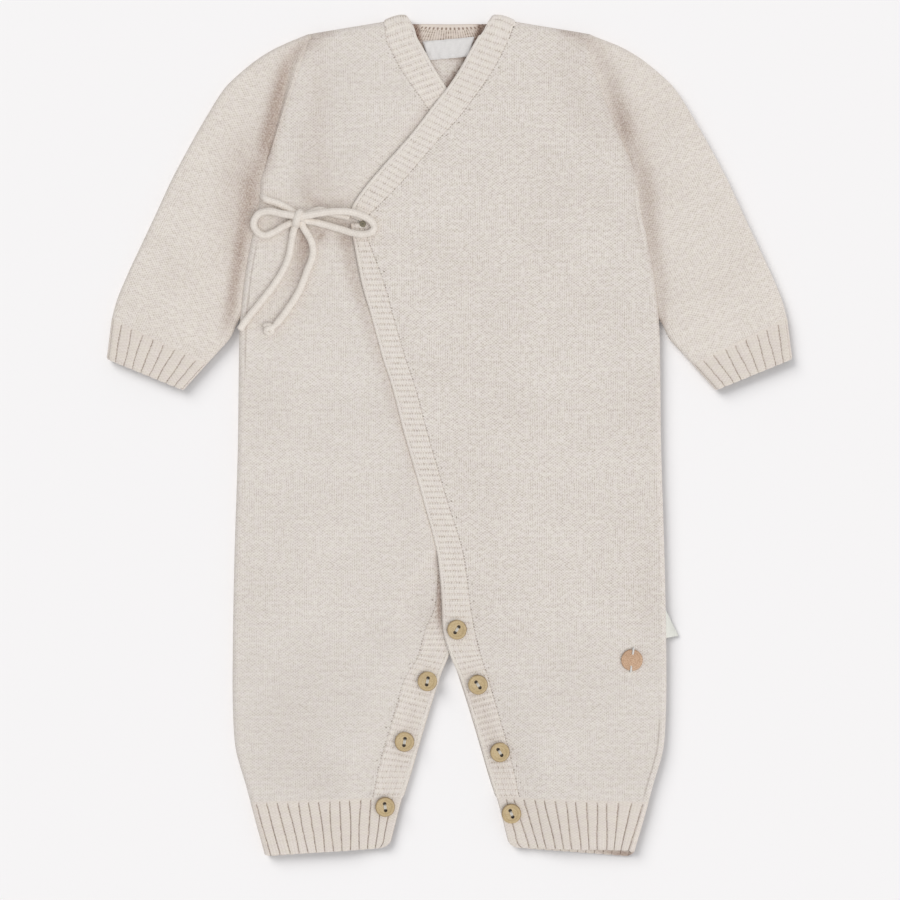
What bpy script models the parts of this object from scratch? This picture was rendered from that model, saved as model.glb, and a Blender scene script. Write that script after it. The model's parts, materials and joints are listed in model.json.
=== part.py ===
"""A knitted wrap romper for a newborn, lying face up on a flat surface.

Axes: +X to the right of someone looking down at the front, +Y towards the neck, +Z up.
The surface is z = 0 and the garment's outline is centred on x = 0, y = 0.
Numbers in the tables are millimetres.
"""

import math
from collections import namedtuple

import bmesh
import bpy
import numpy as np
from mathutils import Matrix, Vector

MM = 0.001

# Cloth and seams
CLOTH = 1.5  # wall of the knitted cloth
SEAM = 0.3  # air between pieces that are sewn together
RIB_RISE = 0.45  # how far a rib stands above the groove beside it
FACING_BACK = CLOTH + SEAM  # lowest height of a layer that lies on the back

# Heights of the underside of each front layer
UNDER_COVERED = FACING_BACK
UNDER_OPEN = 4.4
OVER_LOW = 4.1
EDGE_LOW = 4.4
LEG_BAND_LOW = 2.2
CROTCH_LIFT = 0.35
VALLEY_WIDTH = 13.0  # the strip in which the under front rises, beside the over front
VALLEY_STEPS = (0, 4, 8, 13)
CROTCH_VALLEY = 12.0  # how much further that strip lies from the edge at the crotch
EDGE_GAP = 0.5  # SEAM, and room for the curves' facets
KNOT_GAP = 0.6  # between a knot and the strands that leave it

# How far the heights take to change
EDGE_REACH = 25.0  # in from the sides
SHOULDER_START, SHOULDER_REACH = 195.0, 18.0
CROTCH_START, CROTCH_REACH = -78.0, 14.0
OVER_LEG_START, OVER_LEG_REACH = -117.0, 22.0
UNDER_LEG_START, UNDER_LEG_REACH = -108.0, 24.0
INSEAM_REACH = 20.0  # from the inseam band's height up to the leg's
NECK_SETTLE = 12.0  # from the shoulder fold's height down to the front's
FOLDS_FROM_EDGE, FOLDS_REACH = 60.0, 20.0

# Rows and columns of the panels
FRONT_ROWS = 44
ROW_CLEAR = 0.008  # least share of the height between two rows
FIRST_ROW = 0.01
SHOULDER_STEP = 0.2  # the panels' top corner lies this far below the neck band's
ARMPIT_STEP = 0.013  # the row just below the armpit
PLAIN_COLUMNS = (0, 0.07, 0.16, 0.3, 0.46, 0.62, 0.78, 0.91, 1)
VALLEY_MARGINS = (4.0, 36.0)  # the valley strip stays this far from a front's two edges
BEFORE_VALLEY = 0.6
AFTER_VALLEY = (0.34, 0.7, 1)
BACK_COLUMNS = (0, 0.2, 0.38)
BACK_SHOULDER_COLUMN = 0.79

# The rounded sides, where the back comes up round the edge to meet the front
ROLL = 3.0
ROLL_ANGLES = (-90, -50, -15, 20, 55, 90)
ROLL_REACH = 5.0  # below the armpit, where the roll starts
SHOULDER_ANGLES = (0, 30, 60)
NECK_FOLD_ANGLES = (65, 35, 5, -25, -55)
NECK_FOLD_RISES = (RIB_RISE, 0.0, RIB_RISE, 0.0, 0.0)

# The body's outline: half its width at each height
Side = namedtuple("Side", "y half")
SHOULDER_TIP = Side(216.5, 75.2)
ARMPIT = Side(138.0, 102.0)
SIDES = (
    ARMPIT,
    Side(121, 103.4),
    Side(107, 106.5),
    Side(92, 109.4),
    Side(77, 111.5),
    Side(60, 113.0),
    Side(40, 113.5),
    Side(-8, 114.1),
    Side(-56, 115.6),
    Side(-89, 116.4),
    Side(-130, 116.9),
    Side(-150, 116.6),
    Side(-162, 116.0),
    Side(-170, 115.0),
    Side(-178, 112.9),
    Side(-186, 110.4),
    Side(-194, 108.2),
    Side(-202, 106.0),
    Side(-210, 103.9),
    Side(-218, 101.7),
    Side(-227, 99.2),
)

# The neck band on the front: its free edge, and the edge sewn to the front
BandRow = namedtuple("BandRow", "free_x free_y sewn_x sewn_y")
NECK_FRONT = (
    BandRow(20.3, 224.9, 35.4, 223.3),
    BandRow(17.0, 217.5, 31.8, 213.2),
    BandRow(11.6, 208.2, 26.7, 202.8),
    BandRow(6.3, 198.6, 21.3, 193.2),
    BandRow(-0.8, 187.7, 13.4, 182.2),
    BandRow(-8.5, 178.0, 4.9, 171.0),
    BandRow(-17.5, 166.0, -5.0, 160.2),
    BandRow(-27.0, 154.8, -14.8, 149.0),
    BandRow(-37.0, 143.7, -25.0, 137.2),
    BandRow(-46.3, 132.6, -34.9, 127.0),
    BandRow(-52.2, 123.6, -42.6, 119.4),
    BandRow(-53.4, 117.6, -47.2, 115.0),
)
# The same band across the back of the neck, from the fold on the shoulder to the middle
NECK_BACK = (
    BandRow(20.3, 221.9, 35.4, 220.3),
    BandRow(19.6, 221.7, 33.6, 217.2),
    BandRow(17.6, 221.8, 27.6, 215.2),
    BandRow(13.6, 221.9, 19.6, 214.4),
    BandRow(7.0, 221.8, 9.4, 214.1),
    BandRow(0.0, 221.7, 0.0, 214.0),
)
Point = namedtuple("Point", "x y")
# The back's own neckline, just below that band, and where it meets the shoulder
BACK_NECKLINE = (
    Point(0, 213.5),
    Point(9.4, 213.6),
    Point(19.6, 213.8),
    Point(27.8, 214.5),
    Point(33.4, 215.9),
    Point(34.7, 216.9),
)
BACK_SHOULDER = Point(36.0, 222.6)

# The wrap edge: the band from the corner of the front down to the crotch
WrapRow = namedtuple("WrapRow", "y free sewn")
WRAP_EDGE = (
    WrapRow(114.0, -53.4, -46.9),
    WrapRow(104.0, -51.6, -43.5),
    WrapRow(82.0, -47.3, -35.3),
    WrapRow(62.0, -41.6, -29.8),
    WrapRow(42.0, -36.2, -24.0),
    WrapRow(26.0, -31.0, -18.6),
    WrapRow(3.0, -25.1, -12.4),
    WrapRow(-13.0, -20.5, -7.8),
    WrapRow(-37.0, -13.6, -0.7),
    WrapRow(-60.0, -7.5, 6.4),
    WrapRow(-76.0, -5.1, 9.2),
    WrapRow(-90.0, -3.5, 10.9),
    WrapRow(-104.0, -2.6, 13.2),
    WrapRow(-118.0, 0.4, 16.6),
)
# Down the inside of the leg, where the free edge is the outline
OVER_LEG = (
    WrapRow(-131.0, 5.7, 20.8),
    WrapRow(-147.0, 10.8, 25.4),
    WrapRow(-165.0, 16.2, 30.6),
    WrapRow(-181.0, 20.8, 34.6),
    WrapRow(-194.5, 25.0, 37.4),
)
UNDER_LEG = (
    WrapRow(-131.0, 5.7, 24.0),
    WrapRow(-147.0, 10.8, 28.8),
    WrapRow(-165.0, 16.2, 34.2),
    WrapRow(-181.0, 20.8, 38.4),
    WrapRow(-194.5, 25.0, 41.0),
)
# The band on the back's leg edges, from the middle of the crotch down
BACK_BAND = (
    BandRow(0.0, -117.2, 0.0, -103.0),
    BandRow(0.3, -117.6, 6.2, -104.6),
    BandRow(0.8, -118.6, 11.2, -109.2),
    BandRow(2.0, -121.6, 15.0, -116.5),
    BandRow(5.2, -131.0, 18.6, -127.5),
    BandRow(10.3, -147.0, 23.4, -144.0),
    BandRow(15.7, -165.0, 28.4, -162.0),
    BandRow(20.3, -181.0, 32.6, -178.4),
    BandRow(24.6, -194.4, 36.4, -192.6),
)

BACK_BAND_STEPS = 16
# Heights of the back's rows between its shoulders and its ankles
BACK_ROWS = (
    204, 188, 163, 145, 138, 133, 119, 107, 95, 82, 66, 50, 10, -30, -65, -94, -102.4, -104.6,
    -106.6, -109.3, -113.5, -120, -131, -147, -161, -170, -178, -187,
)

# Lower ends of the panels, where the ankle ribs start, and of the ribs
ANKLE_TOP_OUT, ANKLE_TOP_IN = -197.0, -194.6
ANKLE_END_OUT, ANKLE_END_IN = -226.6, -221.9
FRONT_ANKLE_SHORT = {1: 3.6, -1: 1.2}  # how much the front of each ankle stops short of its back
ANKLE_RIBS = 14
ANKLE_IN_TOP, ANKLE_IN_END = 25.4, 32.4  # inner edge of the ankle at its top and end
ANKLE_BEND_FROM, ANKLE_BEND_REACH = 40.0, 20.0  # where its front rises towards the outside
ANKLE_ANGLES = (45, 0, -45, -90)
ANKLE_UNDER_COLUMNS = (0.66, 0.33, 0)
RIB_STATIONS = (0, 0.35, 0.7, 1)  # down an ankle or a cuff

# The sleeve's two edges, from the armhole to the cuff
SLEEVE_OUTER = (
    Point(75.8, 216.3),
    Point(86.0, 212.2),
    Point(95.5, 207.7),
    Point(104.5, 202.0),
    Point(114.0, 194.2),
    Point(122.0, 186.0),
    Point(131.8, 170.4),
    Point(141.0, 154.2),
    Point(149.6, 138.0),
    Point(157.1, 121.8),
    Point(164.7, 105.6),
    Point(172.3, 89.4),
    Point(179.0, 73.6),
    Point(181.9, 63.0),
)
SLEEVE_INNER = (
    Point(102.9, 137.8),
    Point(104.4, 121.0),
    Point(107.5, 107.0),
    Point(110.4, 92.0),
    Point(112.6, 77.0),
    Point(114.6, 62.0),
    Point(118.0, 52.8),
    Point(124.2, 45.6),
    Point(130.8, 38.4),
)
SLEEVE_STATIONS = (0, 0.025, 0.06, 0.1, 0.16, 0.24, 0.34, 0.46, 0.58, 0.7, 0.82, 0.92, 1)
SLEEVE_EDGE = 5.6  # height of the rounded outer edge
SLEEVE_EDGE_IN = 4.4  # height of the edge that lies beside the body
SLEEVE_CROWN = 1.0  # how far the middle stands above the edges
SLEEVE_TOP_COLUMNS = 8
BESIDE_BODY, LEAVES_BODY = 0.55, 0.25  # where the inner edge thickens, as shares of the sleeve
ARMHOLE_DIP = 2.2
ARMHOLE_DIP_AT, ARMHOLE_DIP_WIDTH = 0.065, 0.05
CUFF_TOP = (Point(182.0, 62.4), Point(131.1, 37.9))
CUFF_END = (Point(184.6, 41.4), Point(143.4, 24.5))
CUFF_RIBS = 9
CUFF_EDGE = 5.6
TUBE_UNDER_COLUMNS = (0, 0.33, 0.67, 1)

# Rib pitches along the bands
WRAP_PITCH = 3.13
NECK_PITCH = 3.55
PLAIN_PITCH = 9.0  # between rows where a band is hidden and so has no ribs
UNDER_RIBS_SHOW = 22.0  # the length above the crotch where the under band's ribs start
NECK_RIBS_PAST = 6.0  # how far the under side's ribs run on beneath the over side

# Largest soft folds of the fronts: a trough between two points
Fold = namedtuple("Fold", "x1 y1 x2 y2 half_width depth")
UNDER_FOLDS = (
    Fold(-66, 196, -64, 132, 9, 0.9),
    Fold(-92, 165, -86, 130, 6, 0.7),
    Fold(-58, 128, -70, 121, 7, 0.9),
    Fold(-60, 60, -84, -20, 14, 0.5),
)
OVER_FOLDS = (
    Fold(62, 206, 50, 150, 12, 0.45),
    Fold(96, 120, 70, 60, 14, 0.5),
    Fold(104, -60, 102, -150, 8, 0.5),
)

# Buttons
BUTTON_RADIUS = 5.5
BUTTON_THICK = 2.2
BUTTON_ROUND = 0.7
BUTTON_RIM, BUTTON_DISH = 1.9, 0.5
BUTTON_HOLE = 0.75
BUTTON_HOLE_SPACING = 4.1
BUTTON_SIDES = 20
HOLE_SIDES = 8
Button = namedtuple("Button", "name x y turn")
BUTTONS = (
    Button("button_crotch", 4.0, -104.3, 34),
    Button("button_left_top", -11.9, -132.2, 12),
    Button("button_left_middle", -24.2, -164.8, 9),
    Button("button_left_ankle", -34.6, -199.8, -9),
    Button("button_right_top", 15.3, -134.0, -35),
    Button("button_right_middle", 27.1, -170.4, -32),
    Button("button_right_ankle", 33.3, -203.4, -22),
)
DISC = Point(98.0, -120.7)
DISC_RADIUS = 5.8
DISC_THICK = 1.3
DISC_ROUND = 0.3

# Labels
NECK_LABEL = (Point(-14.6, 212.3), Point(13.2, 213.2), Point(10.4, 204.2), Point(-11.4, 202.2))
NECK_LABEL_THICK = 1.0
SIDE_TAG = (Point(117.0, -93.6), Point(123.6, -108.2), Point(117.1, -109.8))
SIDE_TAG_THICK = 1.0
SIDE_TAG_ROOT, SIDE_TAG_TIP = 2.4, 0.2  # height of its underside at the seam and at its corner

# Ties: knitted cord, a bow on the front's left side
TIE_DIAMETER = 4.4
TIE_SPACING = 5.0
TIE_ROOT = 6.6  # the length of each strand that belongs to the knot
TIE_SIDES = 8
KNOT_SIDES, KNOT_RINGS = 14, 8
KNOT = Vector((-80.5, 116.6, 10.0))
KNOT_HALF = (4.3, 4.2, 3.6)
END_KNOT = Vector((-95.6, 56.4, 8.7))
END_KNOT_HALF = (3.9, 3.3, 2.8)
Spot = namedtuple("Spot", "x y z")
LEFT_LEAD = (
    Spot(-80.5, 116.6, 9.0),
    Spot(-84.6, 120.4, 8.5),
    Spot(-89.4, 123.3, 8.45),
    Spot(-94.0, 125.2, 8.45),
    Spot(-98.2, 126.6, 8.4),
)
LEFT_LOOP = (
    Spot(-80.5, 116.6, 11.6),
    Spot(-85.6, 118.0, 12.0),
    Spot(-90.0, 118.7, 11.8),
    Spot(-95.9, 120.0, 11.4),
    Spot(-101.3, 119.2, 10.6),
    Spot(-104.5, 115.9, 9.6),
    Spot(-104.8, 111.9, 8.9),
    Spot(-102.1, 108.4, 8.6),
    Spot(-98.0, 107.5, 8.6),
    Spot(-93.2, 109.7, 8.6),
    Spot(-88.4, 112.6, 8.6),
    Spot(-84.4, 114.4, 8.7),
    Spot(-80.5, 116.0, 9.0),
)
LEFT_TAIL = (
    Spot(-80.5, 116.6, 8.8),
    Spot(-83.2, 111.4, 8.5),
    Spot(-84.8, 103.6, 8.5),
    Spot(-86.2, 95.9, 8.5),
    Spot(-89.4, 88.3, 8.5),
    Spot(-94.2, 80.7, 8.5),
    Spot(-99.1, 74.3, 8.5),
    Spot(-104.0, 68.3, 8.5),
    Spot(-109.0, 62.0, 8.5),
    Spot(-112.2, 57.4, 8.4),
)
RIGHT_LEAD = (
    Spot(-80.5, 116.6, 9.0),
    Spot(-75.2, 119.2, 8.2),
    Spot(-70.0, 121.0, 7.9),
    Spot(-63.6, 119.2, 7.8),
    Spot(-58.8, 118.3, 7.3),
    Spot(-54.6, 117.4, 6.9),
)
RIGHT_LOOP = (
    Spot(-80.5, 116.6, 11.6),
    Spot(-75.4, 117.8, 12.4),
    Spot(-70.0, 118.8, 12.6),
    Spot(-62.0, 119.8, 12.2),
    Spot(-53.7, 119.7, 11.2),
    Spot(-47.3, 118.0, 9.6),
    Spot(-42.6, 115.4, 8.9),
    Spot(-40.4, 111.9, 8.8),
    Spot(-42.2, 109.0, 8.8),
    Spot(-46.6, 108.0, 8.8),
    Spot(-51.6, 108.6, 8.8),
    Spot(-57.6, 110.4, 8.8),
    Spot(-65.0, 112.6, 8.8),
    Spot(-72.0, 114.4, 8.8),
    Spot(-80.5, 116.2, 9.4),
)
RIGHT_TAIL = (
    Spot(-80.5, 116.6, 8.8),
    Spot(-78.2, 111.2, 8.5),
    Spot(-75.4, 106.8, 8.5),
    Spot(-73.4, 101.4, 8.5),
    Spot(-73.7, 95.3, 8.5),
    Spot(-76.2, 89.0, 8.5),
    Spot(-78.6, 82.4, 8.5),
    Spot(-81.4, 76.2, 8.5),
    Spot(-85.2, 70.2, 8.5),
    Spot(-89.4, 64.2, 8.5),
    Spot(-92.9, 59.9, 8.6),
)

CURVE_STEPS = 24


def clear_scene():
    for obj in list(bpy.data.objects):
        bpy.data.objects.remove(obj, do_unlink=True)


def material(name, colour, roughness):
    made = bpy.data.materials.new(name)
    made.use_nodes = True
    shader = made.node_tree.nodes["Principled BSDF"]
    shader.inputs["Base Color"].default_value = (*colour, 1.0)
    shader.inputs["Roughness"].default_value = roughness
    return made


def add_object(name, data, finish):
    obj = bpy.data.objects.new(name, data)
    data.materials.append(finish)
    bpy.context.scene.collection.objects.link(obj)
    return obj


def mesh_object(name, bm, finish):
    bmesh.ops.recalc_face_normals(bm, faces=bm.faces[:])
    mesh = bpy.data.meshes.new(name)
    bm.to_mesh(mesh)
    bm.free()
    mesh.shade_smooth()
    mesh.set_sharp_from_angle(angle=math.radians(40))
    return add_object(name, mesh, finish)


# Curves and heights


def ease(t):
    t = min(max(t, 0.0), 1.0)
    return t * t * (3 - 2 * t)


def mix(a, b, t):
    return a + (b - a) * t


def fine_curve(points):
    """Closely spaced points on a smooth curve through the given ones."""
    p = np.array(points, float)
    p = np.vstack([2 * p[0] - p[1], p, 2 * p[-1] - p[-2]])
    t = np.linspace(0, 1, CURVE_STEPS, endpoint=False)[:, None]
    parts = []
    for a, b, c, d in zip(p[:-3], p[1:-2], p[2:-1], p[3:]):
        bend = (2 * a - 5 * b + 4 * c - d) * t**2 + (3 * b - a - 3 * c + d) * t**3
        parts.append(b + 0.5 * ((c - a) * t + bend))
    parts.append(p[-2][None])
    return np.vstack(parts)


def smooth(points, places):
    """Points of the smooth curve at the given shares of its length."""
    fine = fine_curve(points)
    run = np.r_[0, np.cumsum(np.linalg.norm(np.diff(fine, axis=0), axis=1))]
    at = np.asarray(places, float) * run[-1]
    return np.stack([np.interp(at, run, fine[:, k]) for k in range(fine.shape[1])], axis=1)


def curve_length(points):
    return float(np.linalg.norm(np.diff(fine_curve(points), axis=0), axis=1).sum())


def x_at(points):
    """x as a function of y, along an edge that runs down the garment."""
    fine = fine_curve(points)
    order = np.argsort(fine[:, 1])
    ys, xs = fine[order, 1], fine[order, 0]
    return lambda y: float(np.interp(y, ys, xs))


side_curve = x_at([(s.half, s.y) for s in SIDES])
neck_free = x_at([(r.free_x, r.free_y) for r in NECK_FRONT])
neck_sewn = x_at([(r.sewn_x, r.sewn_y) for r in NECK_FRONT])
over_free_low = x_at([(r.free, r.y) for r in WRAP_EDGE + OVER_LEG])
over_sewn_low = x_at([(r.sewn, r.y) for r in WRAP_EDGE + OVER_LEG])
under_sewn_low = x_at([(r.sewn, r.y) for r in WRAP_EDGE + UNDER_LEG])
back_sewn = x_at([(r.sewn_x, r.sewn_y) for r in BACK_BAND])


def half_width(y):
    """Half the body's width: a straight armhole, then the side."""
    if y >= ARMPIT.y:
        return mix(ARMPIT.half, SHOULDER_TIP.half, (y - ARMPIT.y) / (SHOULDER_TIP.y - ARMPIT.y))
    return side_curve(y)


def over_free(y):
    """The free edge of the over front, at a height on the garment."""
    return neck_free(y) if y >= NECK_FRONT[-1].free_y else over_free_low(y)


def front_sewn(y, low):
    return neck_sewn(y) if y >= NECK_FRONT[-1].sewn_y else low(y)


def trough(x, y, folds):
    """How far the soft folds lower the cloth at a point."""
    total = 0.0
    for f in folds:
        along = Vector((f.x2 - f.x1, f.y2 - f.y1))
        reach = Vector((x - f.x1, y - f.y1))
        share = min(max(reach.dot(along) / along.length_squared, 0.0), 1.0)
        away = (reach - along * share).length / f.half_width
        total += f.depth * math.exp(-away * away)
    return total


def edge_lift(x, y):
    """1 at the sides and the shoulders, where the layers are rounded up, and 0 inside."""
    side = ease((EDGE_REACH - half_width(y) + abs(x)) / EDGE_REACH)
    return max(side, ease((y - SHOULDER_START) / SHOULDER_REACH))


def crotch_lift(y):
    return CROTCH_LIFT * ease((CROTCH_START - y) / CROTCH_REACH)


def over_low(x, y):
    """Height of the over front's underside."""
    wrap = mix(OVER_LOW, EDGE_LOW, edge_lift(x, y)) + crotch_lift(y)
    wrap -= trough(x, y, OVER_FOLDS) * ease((x - over_free(y) - FOLDS_FROM_EDGE) / FOLDS_REACH)
    leg = mix(LEG_BAND_LOW, EDGE_LOW, ease((x - over_sewn_low(y) + 1) / INSEAM_REACH))
    return mix(wrap, leg, ease((OVER_LEG_START - y) / OVER_LEG_REACH))


def valley(y):
    """Where the under front starts to rise, to the left of the over front's free edge."""
    return over_free(y) - 2 - CROTCH_VALLEY * ease((-60 - y) / 30)


def under_low(x, y):
    """Height of the under front's underside; x is negative where it shows."""
    shows = ease((valley(y) - x) / VALLEY_WIDTH)
    wrap = mix(UNDER_COVERED, UNDER_OPEN, shows) + crotch_lift(y) * (1 - shows)
    wrap -= trough(x, y, UNDER_FOLDS) * shows
    leg = mix(LEG_BAND_LOW, EDGE_LOW, ease((-x - under_sewn_low(y) + 1) / INSEAM_REACH))
    return mix(wrap, leg, ease((UNDER_LEG_START - y) / UNDER_LEG_REACH))


def front_low(hand):
    """The underside of the front on one side, for x measured from the middle to that side."""
    if hand > 0:
        return over_low
    return lambda x, y: under_low(-x, y)


# Cloth walls


def cloth(name, finish, outer, inner, slit=None):
    """One closed wall. outer[r][c] are points of its show side, inner[r][c] the ones behind them.

    First and last columns in one place make a tube. With slit, the faces after that column are
    left out, and its points meet those of the next column where they are in one place.
    """
    rows, columns = len(outer), len(outer[0])
    bm = bmesh.new()
    spot = bm.verts.layers.int.new("spot")
    bmesh.ops.create_grid(bm, x_segments=columns - 1, y_segments=rows - 1, size=1.0)
    for v in bm.verts:
        c = round((v.co.x + 1) / 2 * (columns - 1))
        r = round((v.co.y + 1) / 2 * (rows - 1))
        v[spot] = r * columns + c
    if slit is not None:
        between = [f for f in bm.faces if {v[spot] % columns for v in f.verts} == {slit, slit + 1}]
        bmesh.ops.delete(bm, geom=between, context="FACES")
    for v in bm.verts:
        r, c = divmod(v[spot], columns)
        v.co = Vector(outer[r][c]) * MM
    bmesh.ops.remove_doubles(bm, verts=bm.verts[:], dist=0.00001)
    made = bmesh.ops.extrude_face_region(bm, geom=bm.faces[:])
    for v in made["geom"]:
        if isinstance(v, bmesh.types.BMVert):
            r, c = divmod(v[spot], columns)
            v.co = Vector(inner[r][c]) * MM
    return mesh_object(name, bm, finish)


def front_columns(left, right, low_place=None):
    """Shares across a front; low_place is where a covered front starts to rise."""
    if low_place is None:
        return PLAIN_COLUMNS
    start = min(max(-low_place, left + VALLEY_MARGINS[0]), right - VALLEY_MARGINS[1])
    spots = [left, mix(left, start, BEFORE_VALLEY), *(start + step for step in VALLEY_STEPS)]
    spots += [mix(spots[-1], right, share) for share in AFTER_VALLEY]
    return [(x - left) / (right - left) for x in spots]


def shoulder_roll(hand, low_place):
    """Rows that bring a front's shoulder down in a quarter round, to lie on the back."""
    big = EDGE_LOW + CLOTH - FACING_BACK
    small = big - CLOTH
    left = Vector((NECK_FRONT[0].sewn_x + EDGE_GAP, NECK_FRONT[0].sewn_y - SHOULDER_STEP))
    right = Vector((SHOULDER_TIP.half, SHOULDER_TIP.y))
    away = Vector((left.y - right.y, right.x - left.x)).normalized()
    outer, inner = [], []
    for angle in map(math.radians, SHOULDER_ANGLES):
        out_row, in_row = [], []
        for c in front_columns(left.x, right.x, low_place):
            edge = left.lerp(right, c)
            o = edge - away * big * (1 - math.cos(angle))
            i = edge - away * (big - small * math.cos(angle))
            out_row.append((hand * o.x, o.y, FACING_BACK + big * math.sin(angle)))
            in_row.append((hand * i.x, i.y, FACING_BACK + small * math.sin(angle)))
        outer.append(out_row)
        inner.append(in_row)
    return outer, inner


def front_panel(name, finish, hand, low_edge):
    """The over front (hand 1) or the under front (hand -1), from the shoulder to the ankle."""
    low = front_low(hand)
    left_top, right_top = NECK_FRONT[0].sewn_y - SHOULDER_STEP, SHOULDER_TIP.y
    armpit_share = (right_top - ARMPIT.y) / (right_top - ANKLE_TOP_OUT)
    corner_share = (left_top - NECK_FRONT[-1].sewn_y) / (left_top - ANKLE_TOP_IN)
    kept = (armpit_share, corner_share)
    shares = set(np.linspace(0.0, 1.0, FRONT_ROWS)[1:])
    shares = {s for s in shares if min(abs(s - k) for k in kept) > ROW_CLEAR}
    shares |= {FIRST_ROW, *kept, armpit_share + ARMPIT_STEP}
    rows = []
    for share in sorted(shares):
        yl = mix(left_top, ANKLE_TOP_IN + SEAM, share)
        yr = mix(right_top, ANKLE_TOP_OUT + SEAM, share)
        xl = front_sewn(yl, low_edge) + EDGE_GAP
        xr = half_width(yr) - (ROLL + EDGE_GAP) * ease((ARMPIT.y - yr) / ROLL_REACH)
        shares_across = front_columns(xl, xr, valley(yl) if hand < 0 else None)
        rows.append([(mix(xl, xr, c), mix(yl, yr, c)) for c in shares_across])
    inner = [[(hand * x, y, low(x, y)) for x, y in row] for row in rows]
    outer = [[(x, y, z + CLOTH) for x, y, z in row] for row in inner]
    roll_out, roll_in = shoulder_roll(hand, valley(left_top) if hand < 0 else None)
    return cloth(name, finish, roll_out + outer, roll_in + inner)


def back_panel(finish):
    """The back with both legs: flat on the surface, and rolled up round the edge at its sides."""
    line = (*BACK_NECKLINE, BACK_SHOULDER, Point(SHOULDER_TIP.half, SHOULDER_TIP.y))
    arc = ROLL * math.pi
    laid_end = SHOULDER_TIP.half - arc
    across = [*BACK_COLUMNS, BACK_NECKLINE[-1].x / laid_end, BACK_SHOULDER.x / laid_end]
    across.append(BACK_SHOULDER_COLUMN)
    apex = BACK_BAND[0].sewn_y

    def top_y(x):
        return float(np.interp(x, [p.x for p in line], [p.y for p in line]))

    def half_row(y_side, row):
        """Outer and inner points of one side, from the middle out; row is top, end or between."""
        half = half_width(y_side)
        rolled = ease((ARMPIT.y - y_side) / ROLL_REACH)
        x_in = back_sewn(y_side - EDGE_GAP) + EDGE_GAP if y_side < apex else 0.0
        flat_end = mix(half - arc, half - ROLL, rolled)
        out_half, in_half = [], []
        for share in across:
            x = mix(x_in, flat_end, share)
            y = top_y(x) if row == "top" else y_side
            if row == "end":
                y = mix(ANKLE_TOP_IN, ANKLE_TOP_OUT, share) + SEAM
            out_half.append((x, y, 0.0))
            in_half.append((x, y, CLOTH))
        for angle in ROLL_ANGLES:
            a = math.radians(angle)
            laid = half - arc * (90 - angle) / 180
            y = top_y(laid) if row == "top" else y_side
            for points, radius, flat_z in ((out_half, ROLL, 0.0), (in_half, ROLL - CLOTH, CLOTH)):
                x = mix(laid, half - ROLL + radius * math.cos(a), rolled)
                z = mix(flat_z, ROLL + radius * math.sin(a), rolled)
                points.append((x, y, z))
        return out_half, in_half

    heights = [(SHOULDER_TIP.y, "top"), *((y, "between") for y in BACK_ROWS)]
    heights.append((ANKLE_TOP_OUT + SEAM, "end"))
    outer, inner = [], []
    for y_side, row in heights:
        for rows, half in zip((outer, inner), half_row(y_side, row)):
            rows.append([(-x, y, z) for x, y, z in reversed(half)] + half)
    return cloth("back", finish, outer, inner, slit=len(outer[0]) // 2 - 1)


# Ribbed bands


def band_stations(length, pitch, ribs_from, ribs_to):
    """Shares of a band's length with the rise of the cloth there, ribbed between two lengths."""
    stations = []
    at = 0.0
    while at < length - 0.4 * pitch:
        ribs = ribs_from <= at < ribs_to
        stations.append((at / length, 0.0))
        if ribs:
            stations.append(((at + pitch / 2) / length, RIB_RISE))
        at += pitch if ribs else min(PLAIN_PITCH, max(pitch, abs(ribs_from - at)))
    stations.append((1.0, 0.0))
    return stations


def strip(name, finish, rows):
    """A band. Each row is (free edge, sewn edge, direction of its show side, rise out, rise in)."""
    outer, inner = [], []
    for free, sewn, out, rise_out, rise_in in rows:
        outer.append([p + out * (CLOTH + rise_out) for p in (free, sewn)])
        inner.append([p - out * rise_in for p in (free, sewn)])
    return cloth(name, finish, outer, inner)


def wrap_band(name, finish, hand, edge_rows, ribs_from):
    """The band from the front's corner along the wrap edge and down the leg."""
    low = front_low(hand)
    up = Vector((0, 0, 1))
    length = curve_length([(r.free, r.y) for r in edge_rows])
    stations = band_stations(length, WRAP_PITCH, ribs_from, length)
    points = smooth([(r.free, r.sewn, r.y) for r in edge_rows], [s for s, _ in stations])
    rows = []
    for (free, sewn, y), (_, rise) in zip(points, stations):
        ends = [Vector((hand * x, y, low(x, y))) for x in (free, sewn)]
        rows.append((*ends, up, rise, 0.0))
    return strip(name, finish, rows)


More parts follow.
